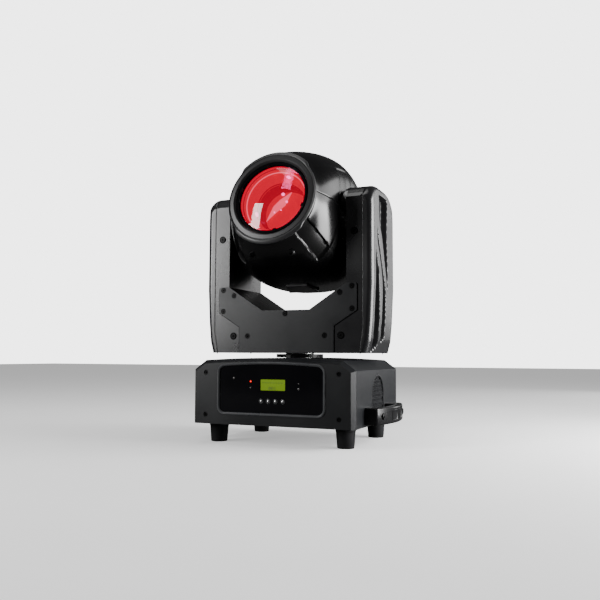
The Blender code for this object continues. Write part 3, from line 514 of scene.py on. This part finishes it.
def handle_plan(side, shrink, count=28):
    end, half, corner = HANDLE_END - shrink, HANDLE_HALF - shrink, max(0.5, 4 - shrink)
    grip_x, grip = GRIP_X + shrink, GRIP_HALF + shrink
    bow = [(end + HANDLE_BOW * (1 - (2 * i / count - 1) ** 2), half * (2 * i / count - 1), 0)
           for i in range(1, count)]
    plan = [(HANDLE_WALL, -half, 0), (end, -half, corner), *bow, (end, half, corner), (HANDLE_WALL, half, 0),
            (HANDLE_WALL, grip, 0), (grip_x, grip, 6), (grip_x, -grip, 6), (HANDLE_WALL, -grip, 0)]
    return [(side * x, y) for x, y in arc_corners(plan, 5)]


handle_black = finish_of("handle_nylon", (0.007, 0.007, 0.0075), 0.24, grain=0.12, grain_size=0.8, sheen=0.3)
HANDLE_EDGE = [(2.2, 28.8), (1.1, 29.1), (0.3, 29.9), (0.0, 31.0), (0.0, 48.4), (0.3, 49.5), (1.1, 50.3),
               (2.2, 50.6)]
HANDLE_CUP = [(3.1, -0.4), (4.0, -0.4), (4.0, 0.5), (3.7, 0.7), (3.2, 0.6)]
PAD_STEPS = ((-0.4, 1), (0.5, 1), (0.6, 0.94), (0.0, 0.86))


def pad_row(side, y0, y1, lift, scale):
    """One outline of a raised pad, shrunk about its own middle and laid on the bowed face."""
    middle = (y0 + y1) / 2
    outline = arc_corners([(y0, 33, 2), (y1, 33, 2), (y1, 46.4, 2), (y0, 46.4, 2)], 4)
    return [(side * (handle_face(y) + lift), middle + (y - middle) * scale, HANDLE_Z + (z - HANDLE_Z) * scale)
            for y, z in outline]


for side, name, facing in ((-1, "left", "-X"), (1, "right", "+X")):
    rows_of(f"handle_{name}_bar",
            [[(x, y, z) for x, y in handle_plan(side, shrink)] for shrink, z in HANDLE_EDGE],
            handle_black, "base", replaces=[f"handle_{name}"])
    for i, y in enumerate((-46, 46)):
        x = side * handle_face(y)
        lathe(f"handle_{name}_cup_{i}", HANDLE_CUP, handle_black, "base",
              at(x, y, HANDLE_Z) @ FACING[facing], 32)
        screws(f"handle_{name}_screw_{i}", [(x + side * 0.1, y, HANDLE_Z)], facing, 3.0, "base")
    for i, (y0, y1) in enumerate(((-22, -4), (4, 22))):
        rows_of(f"handle_{name}_pad_{i}", [pad_row(side, y0, y1, lift, scale) for lift, scale in PAD_STEPS],
                handle_black, "base")


# Side vents: a near-black sheet behind each arched opening in the side walls, painted shade for the dark
# inside of the base, under rings set in a honeycomb grid and a raised rim.
def vent_half_width(z, inset):
    if z <= 60:
        return 28 - inset
    return (28 - inset) * math.sqrt(max(0.0, 1 - ((z - 60) / (31.5 - inset)) ** 2))


def ring_tree():
    tree = bpy.data.node_groups.new("vent_rings", "GeometryNodeTree")
    for label, kind in (("Places", "NodeSocketGeometry"), ("Ring", "NodeSocketFloat"),
                        ("Wire", "NodeSocketFloat"), ("Finish", "NodeSocketMaterial")):
        tree.interface.new_socket(label, in_out="INPUT", socket_type=kind)
    tree.interface.new_socket("Geometry", in_out="OUTPUT", socket_type="NodeSocketGeometry")
    add, link = tree.nodes.new, tree.links.new
    given, result = add("NodeGroupInput"), add("NodeGroupOutput")
    circle, section = add("GeometryNodeCurvePrimitiveCircle"), add("GeometryNodeCurvePrimitiveCircle")
    circle.inputs["Resolution"].default_value, section.inputs["Resolution"].default_value = 12, 6
    link(given.outputs["Ring"], circle.inputs["Radius"])
    link(given.outputs["Wire"], section.inputs["Radius"])
    tube = add("GeometryNodeCurveToMesh")
    link(circle.outputs[0], tube.inputs["Curve"])
    link(section.outputs[0], tube.inputs["Profile Curve"])
    looks = add("GeometryNodeInputNamedAttribute")
    looks.data_type = "FLOAT_VECTOR"
    looks.inputs["Name"].default_value = "looks"
    facing = add("FunctionNodeAlignRotationToVector")
    facing.axis = "Z"
    link(looks.outputs[0], facing.inputs["Vector"])
    copies, real = add("GeometryNodeInstanceOnPoints"), add("GeometryNodeRealizeInstances")
    paint = add("GeometryNodeSetMaterial")
    link(given.outputs["Places"], copies.inputs["Points"])
    link(tube.outputs[0], copies.inputs["Instance"])
    link(facing.outputs[0], copies.inputs["Rotation"])
    link(copies.outputs[0], real.inputs[0])
    link(real.outputs[0], paint.inputs["Geometry"])
    link(given.outputs["Finish"], paint.inputs["Material"])
    link(paint.outputs[0], result.inputs[0])
    return tree


RING_TREE = ring_tree()
vent_grey = finish_of("vent_grey", (0.03, 0.031, 0.033), 0.34, grain=0.2, sheen=0.3)
PITCH_YZ = 6.6
for side, name in ((-1, "left"), (1, "right")):
    heights = [60 + 31.0 * math.sin(i / 16 * math.pi / 2) for i in range(17)]
    arch = [(-28.0, 31.2)] + [(-vent_half_width(z, 0.4), z) for z in heights]
    arch += [(-y, z) for y, z in reversed(arch[:-1])]
    # near-black sheet: painted shade inside the vent openings
    rows_of(f"vent_{name}_painted_shade_sheet", [[(side * x, y, z) for y, z in arch] for x in (111.2, 112.0)], shade_black,
            "base", replaces=[f"vent_grille_{name}"])
    spots = []
    for row in range(10):
        z = 34.6 + row * PITCH_YZ * 0.88
        for column in range(-5, 6):
            y = (column + (row % 2) / 2) * PITCH_YZ
            if abs(y) < vent_half_width(z + 1.5, 0) - 2.4 and z < 88:
                spots.append((side * 112.8, y, z))
    baked(places_mesh(f"vent_{name}_rings", spots, "+X"), RING_TREE,
          {"Ring": 2.55 * MM, "Wire": 0.45 * MM, "Finish": vent_grey}, "base")
    rim = [(0.0, 112.6), (0.0, 114.2), (-0.9, 114.4), (-1.6, 113.6), (-1.6, 112.6)]
    rows_of(f"vent_{name}_rim",
            [[(side * x, y * (1 + grow / 28), 61 + (z - 61) * (1 + grow / 30)) for y, z in arch]
             for grow, x in rim],
            powder_coat, "base", around=True)


# Yoke plates: the V-shaped service plates close the front and rear of the yoke's cross piece. A thin
# near-black sheet behind each shows as a dark line round it, painted shade for the gap at its edge.
plate_half = [(70.5, 119.8, 0), (70.5, 154.8, 0), (102.4, 174.7, 2.5), (102.4, 210.9, 3), (87.0, 210.9, 0),
              (35.0, 177.0, 0)]
painted_shade_line = arc_corners([*plate_half, *[(-x, z, r) for x, z, r in reversed(plate_half)]], 4)
for sign, name in ((-1, "front"), (1, "rear")):
    # near-black sheet round each plate: painted shade for the gap at its edge
    rows_of(f"yoke_{name}_gasket", [[(x, sign * y, z) for x, z in painted_shade_line] for y in (49.8, 50.7)], shade_black,
            "yoke")

# Yoke screws: nine small screws hold each V-shaped plate, and four larger ones stand in the arms at the front
# and four at the rear. They are the same black steel screws as in the covers.
SMALL = [(sx * x, z) for x, z in ((95.0, 206.8), (78.2, 198.8), (95.0, 177.2), (56.7, 142.6))
         for sx in (-1, 1)]
SMALL.append((0, 172.4))
LARGE = [(sx * x, z) for x, z in ((79.2, 142.6), (98.0, 279.0)) for sx in (-1, 1)]
for facing, sign, name in (("-Y", -1, "front"), ("+Y", 1, "rear")):
    screws(f"yoke_{name}_plate_screws", [(x, sign * 51.3, z) for x, z in SMALL], facing, 2.6, "yoke")
    screws(f"yoke_{name}_arm_screws", [(x, sign * 50.3, z) for x, z in LARGE], facing, 3.4, "yoke")

# Arm covers: thick injection-moulded shells over the drive side of each arm. A raised outer frame runs up
# the front, over the arched top and into a broad rear band; two blades fan across the recess inside it.
ARM_LOW, ARM_HIGH, ARM_DROP, ARM_CROWN = 119.4, 344.0, 20.0, 9.0
ARM_HALF_D, ARM_CORNER, ARM_REAR_EXTRA = 50.6, 8.0, 4.5
TILT_Z = 299


def arm_top(y):
    return ARM_HIGH - ARM_DROP * (min(abs(y), 51.5) / 51) ** 4


def step_up(value, start, end):
    t = min(1.0, max(0.0, (value - start) / (end - start)))
    return t * t * (3 - 2 * t)


# Gaps between the blades: heights, then the front and the rear edge of the gap at each height
GAP_DEPTH = 8.5
BLADE_GAPS = (((203, 224, 247, 279, 295, 331), (18.4, 12, 3.5, -8, -20, -21), (18.6, 20, 19, 16.5, 17.5, 20)),
              ((126, 168, 200, 224, 247, 270, 289), (-3.6, -2.6, -2.8, -7.4, -16, -29, -27.5),
               (16.6, 15, 12.5, 2, -8, -20, -27.3)),
              ((121, 168, 200, 232, 247, 258), (-35.4, -37, -36.5, -36, -35.5, -33.6),
               (-11, -12, -15.2, -21.6, -27.5, -33.4)))


def arm_recess(y, z):
    """How far the outer face is set back at (y, z), counted from the raised frame."""
    depth = 0.0
    for heights, front, rear in BLADE_GAPS:
        span = np.linspace(z - 6, z + 6, 5)
        ahead_of = y - float(np.mean(np.interp(span, heights, front)))
        behind = float(np.mean(np.interp(span, heights, rear))) - y
        ends = min(z - heights[0], arm_top(y) - 12.5 - z, z - 119.4 - 0.395 * (y + 36))
        opened = step_up(ahead_of, 0, 1.8) * step_up(behind, 0, 4.2) * step_up(ends, 0, 3)
        depth = max(depth, GAP_DEPTH * opened)
    return depth


def arm_point(side, u, v):
    """A point of the cover: u runs round its plan from the front inner edge to the rear, v runs upwards."""
    z_ref = ARM_LOW + (322 - ARM_LOW) * v
    outer = np.interp(z_ref, (119.4, 135, 160, 205, 300, 322), (114.2, 118.4, 120.8, 123.0, 123.0, 122.2))
    inner = np.interp(z_ref, (119.4, 150), (103.7, 108.8)) + 0.3
    flat = outer - ARM_CORNER - inner
    arc_len = ARM_CORNER * math.pi / 2
    total = 2 * flat + 2 * arc_len + 2 * (ARM_HALF_D - ARM_CORNER)
    d = u * total
    if d < flat:
        x, y = inner + d, -ARM_HALF_D
    elif d < flat + arc_len:
        a = (d - flat) / ARM_CORNER
        x = outer - ARM_CORNER + ARM_CORNER * math.sin(a)
        y = -ARM_HALF_D + ARM_CORNER - ARM_CORNER * math.cos(a)
    elif d < total - flat - arc_len:
        x, y = outer, -ARM_HALF_D + ARM_CORNER + d - flat - arc_len
    elif d < total - flat:
        a = (total - flat - d) / ARM_CORNER
        x = outer - ARM_CORNER + ARM_CORNER * math.sin(a)
        y = ARM_HALF_D - ARM_CORNER + ARM_CORNER * math.cos(a)
    else:
        x, y = inner + total - d, ARM_HALF_D
    if y > 0:
        y *= 1 + ARM_REAR_EXTRA / ARM_HALF_D
    z = ARM_LOW + (arm_top(y) - ARM_LOW) * v
    crown = arm_top(y) - z
    if crown < ARM_CROWN:
        rounding = ARM_CROWN - math.sqrt(max(0, ARM_CROWN ** 2 - (ARM_CROWN - crown) ** 2))
        x -= rounding * min(1.0, (x - inner) / 8)
    x -= arm_recess(y, z) * min(1.0, max(0.0, (x - inner) / 8))
    return Vector((side * x, y, z))


arm_black = finish_of("arm_cover_black", (0.009, 0.009, 0.010), 0.3, grain=0.15, grain_size=0.8, sheen=0.6)
ARM_U, ARM_V = 210, 110
for side, name in ((-1, "left"), (1, "right")):
    bm = bmesh.new()
    # rows crowd towards the rounded top
    heights = [1 - (1 - k / ARM_V) ** 1.35 for k in range(ARM_V + 1)]
    rows = [[bm.verts.new(arm_point(side, k / ARM_U, v) * MM) for k in range(ARM_U + 1)] for v in heights]
    for lower, upper in zip(rows, rows[1:]):
        for i in range(ARM_U):
            bm.faces.new((lower[i], lower[i + 1], upper[i + 1], upper[i]))
    # caps: the top and bottom turn inwards to the frame
    for edge in (rows[0], rows[-1]):
        lip = []
        inner_x = 104.0 if edge is rows[0] else 109.1
        for vert in edge:
            lip.append(bm.verts.new(Vector((side * inner_x * MM, vert.co.y, vert.co.z))))
        for i in range(ARM_U):
            bm.faces.new((edge[i], edge[i + 1], lip[i + 1], lip[i]))
    cover = place(bm, f"arm_cover_{name}_shell", arm_black, "yoke", 32, replaces=[f"arm_cover_{name}"])
    wall = cover.modifiers.new("wall", "SOLIDIFY")
    wall.thickness = 2.2 * MM
    wall.offset = -1
    lathe(f"tilt_boss_{name}", [(21, -0.2), (44, -0.2), (44, 1.4), (40.5, 3.2), (24, 3.2), (21, 1.4)],
          moulded_black, "yoke", at(side * 86.6, 0, TILT_Z) @ FACING["-X" if side > 0 else "+X"], 72)

# Head shells: two glossy injection-moulded halves that meet on a level parting line. The form is a long
# egg round the beam, flat at the sides and notched for the hubs, with a polished cheek each side in front.
REST_TILT = 13.3
HEAD = at(0, 0, TILT_Z) @ Matrix.Rotation(math.radians(-REST_TILT), 4, "X")
EGG = ((-100, 56.0, 57.5, 57.0, 2.2), (-90, 66, 66.5, 66, 2.4), (-75, 75, 75, 75, 2.7),
       (-60, 80.5, 81, 79, 3.0), (-40, 83.5, 87.5, 82.5, 3.2), (-20, 84, 92, 84.5, 3.4), (0, 84, 94, 85, 3.5),
       (20, 83, 94, 85, 3.4), (35, 80.5, 92.8, 84.5, 3.2), (50, 77, 90, 83, 2.9), (65, 74, 85, 80, 2.5),
       (80, 69.5, 77.0, 75.5, 2.2), (91, 64.0, 67.5, 67.5, 2.0), (98, 59.5, 61.5, 61.5, 2.0))


def egg_at(s):
    """Half width, top, bottom and squareness at a distance s along the beam, eased between stations."""
    span = np.linspace(s - 7, s + 7, 9)
    stations = np.array([row[0] for row in EGG])
    return [float(np.mean(np.interp(span, stations, [row[k] for row in EGG]))) for k in range(1, 5)]


def cheek_under(s):
    """The angle below the horizontal at which the cheek ends, at a distance s along the beam."""
    return -32 - 6.5 * (92 - s) / 42


def head_inset(x, s, t):
    """Distance that the surface is set in: the channel below the cheek, its seam and the step behind it."""
    angle = math.degrees(math.atan2(t, abs(x)))
    under = cheek_under(s)
    front = step_up(s, 49, 51)
    channel = front * (1 - step_up(angle, under - 1.3, under)) * step_up(angle, -54.5, -53) * 4.0
    seam = 0.5 * (1 - step_up(abs(angle - 42.5), 0.35, 0.9)) * front
    rear_step = 1.2 * (1 - step_up(s, 49, 51)) * step_up(angle, -40, -37) * (1 - step_up(angle, 41, 43))
    return channel + seam + rear_step * step_up(s, 20, 35)


def is_cheek(x, s, t):
    angle = math.degrees(math.atan2(t, abs(x)))
    under = cheek_under(s)
    return step_up(s, 49, 51) * step_up(angle, under - 0.5, under + 0.5) * (1 - step_up(angle, 41.5, 42.5))


def head_point(s, phi, stations):
    a, top, bottom, n = stations
    c, w = math.cos(phi), math.sin(phi)
    x = math.copysign(a * abs(c) ** (2 / n), c)
    t = math.copysign((top if w > 0 else bottom) * abs(w) ** (2 / n), w)
    inset = head_inset(x, s, t)
    size = math.hypot(x, t)
    x, t = x * (size - inset) / size, t * (size - inset) / size
    hub = math.hypot(s, t)
    if hub < 50 and abs(x) > 60:
        x = math.copysign(min(abs(x), 74.5 + 9.5 * step_up(hub, 46, 50)), x)
    return x, t


shell_paint = finish_of("head_shell_black", (0.002, 0.002, 0.0022), 0.3, grain=0.05, grain_size=0.8,
                        sheen=0.5)
nodes, links = shell_paint.node_tree.nodes, shell_paint.node_tree.links
cheek_mark = nodes.new("ShaderNodeAttribute")
cheek_mark.attribute_name = "cheek"
polish = nodes.new("ShaderNodeMapRange")
polish.inputs["To Min"].default_value, polish.inputs["To Max"].default_value = 0.26, 0.22
links.new(cheek_mark.outputs["Fac"], polish.inputs["Value"])
links.new(polish.outputs["Result"], nodes["Principled BSDF"].inputs["Roughness"])
SPLIT = 5.0
HEAD_U, HEAD_V = 190, 120
for name, sign in (("upper", 1), ("lower", -1)):
    bm = bmesh.new()
    mark = bm.verts.layers.float.new("cheek")
    rows = []
    for k in range(HEAD_V + 1):
        s = -100 + 196.5 * k / HEAD_V
        stations = egg_at(s)
        rim = stations[1]
        start = math.asin(((SPLIT + 0.2 * sign) / rim) ** (stations[3] / 2))
        first, last = (start, math.pi - start) if sign > 0 else (start, -math.pi - start)
        row = []
        for i in range(HEAD_U + 1):
            phi = first + (last - first) * i / HEAD_U
            x, t = head_point(s, phi, stations)
            vert = bm.verts.new(Vector((x, -s, t)) * MM)
            vert[mark] = is_cheek(x, s, t)
            row.append(vert)
        rows.append(row)
    for lower, upper in zip(rows, rows[1:]):
        for i in range(HEAD_U):
            bm.faces.new((lower[i], lower[i + 1], upper[i + 1], upper[i]))
    bm.transform(HEAD)
    shell = place(bm, f"head_{name}_moulding", shell_paint, "head", 40, replaces=[f"head_{name}_shell"])
    wall = shell.modifiers.new("wall", "SOLIDIFY")
    wall.thickness = 2.4 * MM
    wall.offset = -1

# Belly plate: a small raised trapezoid under the head, in a lighter matt grey that is a painted reflection of
# the floor. Beside it are two round cups for the lower shell's screws.
belly_painted_reflection_grey = finish_of("belly_painted_reflection_grey", (0.09, 0.09, 0.092), 0.4, grain=0.2, sheen=0.4)
belly = [(-23, -36), (23, -36), (16, -6), (-16, -6)]
rows_of("head_belly_plate", [[HEAD @ (Vector((x * scale, -s * scale, t)) * MM) / MM for x, s in belly]
                             for t, scale in ((-82.0, 1.0), (-86.4, 1.0), (-87.0, 0.97))], belly_painted_reflection_grey, "head")
HEAD_CUP = [(0, -1.5), (3.2, -1.5), (3.2, 0.9), (4.0, 0.9), (4.3, 0.3), (4.3, -2.4), (0, -2.4)]
for i, sx in enumerate((-1, 1)):
    hole = HEAD @ at(sx * 28, -80, -71.8) @ Matrix.Rotation(math.radians(sx * 22), 4, "Y") @ Matrix.Rotation(
        math.radians(143), 4, "X")
    lathe(f"head_screw_cup_{i}", HEAD_CUP, moulded_black, "head", hole, 32)

# Bezel: a heavy matt ring round the lens, bevelled inwards in two steps and flattened at both sides,
# where it has to pass the yoke.
bezel_grey = finish_of("bezel_charcoal", (0.022, 0.022, 0.023), 0.38, grain=0.25, grain_size=0.8, sheen=0.6)
BEZEL = [(57.0, 91.6), (57.0, 96.2), (61.0, 96.8), (64.6, 97.6), (65.7, 98.6), (65.4, 99.9), (63.2, 101.4),
         (61.8, 101.8), (60.6, 101.6), (60.2, 100.7), (59.8, 100.7), (59.2, 101.5), (54.2, 102.0),
         (53.4, 101.5), (51.6, 99.3), (51.2, 97.5), (51.2, 91.6)]
bm = bmesh.new()
BEZEL_STEPS = 180
rings = []
for k in range(BEZEL_STEPS):
    phi = 2 * math.pi * k / BEZEL_STEPS
    side = abs(math.cos(phi))
    flat = 2.9 * step_up(side, math.cos(math.radians(46)), math.cos(math.radians(37)))
    ring = []
    for radius, s in BEZEL:
        r = radius - flat * step_up(radius, 59.5, 65.0)
        ring.append(bm.verts.new(Vector((r * math.cos(phi), -s, r * math.sin(phi))) * MM))
    rings.append(ring)
for k in range(BEZEL_STEPS):
    a, b = rings[k], rings[(k + 1) % BEZEL_STEPS]
    for i in range(len(a)):
        j = (i + 1) % len(a)
        bm.faces.new((a[i], a[j], b[j], b[i]))
bm.transform(HEAD)
place(bm, "bezel_moulding", bezel_grey, "head", 25, replaces=["head_bezel"])

# Retaining ring: a polished black ring with six small lugs on its face. It clamps the front lens in the
# bezel.
FORWARD = HEAD @ FACING["-Y"]
lathe("lens_clamp_ring", [(46.0, 96.6), (50.9, 96.6), (50.9, 99.0), (50.0, 99.8), (47.6, 99.6), (46.4, 98.2)],
      gloss_black, "head", FORWARD, 120, replaces=["lens_retaining_ring"])
lug = arc_corners([(-2.4, 46.0, 0.6), (2.4, 46.0, 0.6), (2.4, 50.2, 0.6), (-2.4, 50.2, 0.6)], 3)
for i in range(6):
    spin = Matrix.Rotation(math.radians(60 * i + 12), 4, "Z")
    rows_of(f"lens_clamp_lug_{i}", [[FORWARD @ spin @ (Vector((x, y, z)) * MM) / MM for x, y in lug]
                                    for z in (98.6, 100.2, 100.4)], gloss_black, "head")

# Front lens: a crowned glass, tinted like the beam. Behind it the red beam fills a stepped bowl. The pale and
# white glowing shapes inside are painted highlights: a pale streak, a pale step ring and white glints.
lens_glass = bpy.data.materials.new("front_lens_glass")
lens_glass.use_nodes = True
nodes, links = lens_glass.node_tree.nodes, lens_glass.node_tree.links
glass = nodes["Principled BSDF"]
glass.inputs["Transmission Weight"].default_value = 1.0
glass.inputs["IOR"].default_value = 1.45
glass.inputs["Base Color"].default_value = (1.0, 0.10, 0.36, 1)
glass.inputs["Specular IOR Level"].default_value = 0.04
place_in = nodes.new("ShaderNodeTexCoord")
streaks = nodes.new("ShaderNodeTexNoise")
streaks.inputs["Scale"].default_value = 60
film = nodes.new("ShaderNodeMapRange")
film.inputs["To Min"].default_value, film.inputs["To Max"].default_value = 0.01, 0.05
links.new(place_in.outputs["Object"], streaks.inputs["Vector"])
links.new(streaks.outputs["Fac"], film.inputs["Value"])
links.new(film.outputs["Result"], glass.inputs["Roughness"])
DOME = [(46.6 * k / 14, 104.6 - 8.2 * (k / 14) ** 2) for k in range(15)]
lathe("front_lens_glass", [*DOME, (48.5, 96.2), (48.5, 94.8), *[(46 * k / 8, 94.6 - 2.0 * (1 - (k / 8) ** 2))
                                                               for k in range(8, -1, -1)]],
      lens_glass, "head", FORWARD, 128, smooth=40, replaces=["front_lens"])


def emissive_finish(name, colour, strength, grain=0.0):
    glow = finish_of(name, [0.25 * c for c in colour], 0.5, grain=grain, mottling=0.2, sheen=0.0)
    shader = glow.node_tree.nodes["Principled BSDF"]
    shader.inputs["Emission Color"].default_value = (*colour, 1)
    shader.inputs["Emission Strength"].default_value = strength
    return glow


beam_red = emissive_finish("beam_red", (1.0, 0.0, 0.10), 0.80)
beam_deep = emissive_finish("beam_deep_red", (0.55, 0.0, 0.06), 0.8)
painted_highlight_pale = emissive_finish("painted_highlight_pale", (1.0, 0.9, 0.45), 1.5)
painted_highlight_white = emissive_finish("painted_highlight_white", (1.0, 1.0, 1.0), 3.2)
lathe("beam_bowl", [(47.5, 90.5), (46.2, 90.2), (43.8, 85.8), (42.6, 85.6), (39.5, 79.5), (38.3, 79.3),
                    (30, 69.5), (28.2, 69.3), (28.2, 67.8), (31, 68.2), (40, 77.8), (44.5, 84.2),
                    (47.5, 89.0)], beam_red, "head", FORWARD, 128, smooth=20)
# the middle step ring glows pale as a painted highlight; the other two glow deep red
for i, (radius, height) in enumerate(((44.2, 87.6), (40.4, 82.2), (29.6, 70.6))):
    step = [(radius, height), (radius - 1.3, height + 0.5), (radius - 1.5, height - 0.2),
            (radius - 0.2, height - 0.7)]
    lathe(f"beam_step_{i}", step, painted_highlight_pale if i == 1 else beam_deep, "head", FORWARD, 96)
# the moving focus lens fills the bowl's mouth, and carries a pale painted highlight streak and white painted
# glints
lathe("focus_lens_lit", [(0, 61.0), (9, 60.6), (18, 59.4), (26, 57.0), (26, 50.5), (0, 50.5)], beam_red,
      "focus_carriage", FORWARD, 96, replaces=["focus_lens"])
lathe("beam_throat", [(28.4, 69.2), (27.4, 69.2), (27.4, 50.0), (28.4, 50.0)], beam_deep, "head", FORWARD, 96)
# a pale glowing streak across the focus lens: a painted highlight
streak_outline = [(-23, -8), (-12, 2), (-3, 9), (4, 23.5), (-8, 15), (-15, 8)]
rows_of("painted_highlight_streak", [[FORWARD @ (Vector((x, y, z)) * MM) / MM for x, y in streak_outline]
                              for z in (61.4, 61.9)], painted_highlight_pale, "focus_carriage")
# white glowing glints on the focus lens and in the bowl: painted highlights
for i, (x, y, radius, height) in enumerate(((-5, 21, 1.7, 61.9), (-1, 13, 1.2, 61.9), (-14, 1.5, 0.8, 61.9),
                                            (-7, 4, 0.7, 61.9))):
    lathe(f"painted_glint_{i}", [(0, 0.9), (radius * 0.6, 0.7), (radius, 0.2), (radius, 0), (0, 0)], painted_highlight_white,
          "focus_carriage", FORWARD @ at(x, y, height), 32)
for i, (angle, radius, height, size) in enumerate(((192, 31.5, 70.8, 3.0), (75, 36.5, 76.8, 2.6))):
    turn = math.radians(angle)
    lathe(f"bowl_painted_glint_{i}", [(0, 1.2), (size * 0.6, 1.0), (size, 0.2), (size, -1.5), (0, -1.5)], painted_highlight_white,
          "head", FORWARD @ at(radius * math.cos(turn), radius * math.sin(turn), height), 32)

# Rear cover: a moulded black grille over the exhaust fan, with five round bars and a hub on eight spokes. Its
# round rim closes the rear of both shells.
grille_black = finish_of("rear_grille_black", (0.014, 0.014, 0.015), 0.36, grain=0.2, sheen=0.25)
BACKWARD = HEAD @ FACING["+Y"]
REAR_RIM = [(48.5, 96.2), (57.6, 96.2), (57.6, 99.6), (56.4, 100.8), (50.5, 101.2), (48.5, 100.0)]
lathe("rear_cover_rim", REAR_RIM, grille_black, "head", BACKWARD, 96, replaces=["head_rear_cover"])
for i, radius in enumerate((12, 19, 26, 33, 40)):
    lathe(f"rear_grille_bar_{i}", [(radius - 1.3, 97.2), (radius + 1.3, 97.2), (radius + 1.3, 99.6),
                                   (radius, 100.3), (radius - 1.3, 99.6)], grille_black, "head", BACKWARD, 72)
lathe("rear_grille_hub", [(0, 96.6), (8.5, 96.6), (8.5, 99.8), (7.2, 100.8), (0, 101.0)], grille_black,
      "head", BACKWARD, 48)
spoke = [(6.5, -1.5), (49.5, -1.5), (49.5, 1.5), (6.5, 1.5)]
for i in range(8):
    spin = Matrix.Rotation(math.radians(45 * i), 4, "Z")
    rows_of(f"rear_grille_spoke_{i}", [[BACKWARD @ spin @ (Vector((x, y, z)) * MM) / MM for x, y in spoke]
                                       for z in (96.8, 98.9)], grille_black, "head")
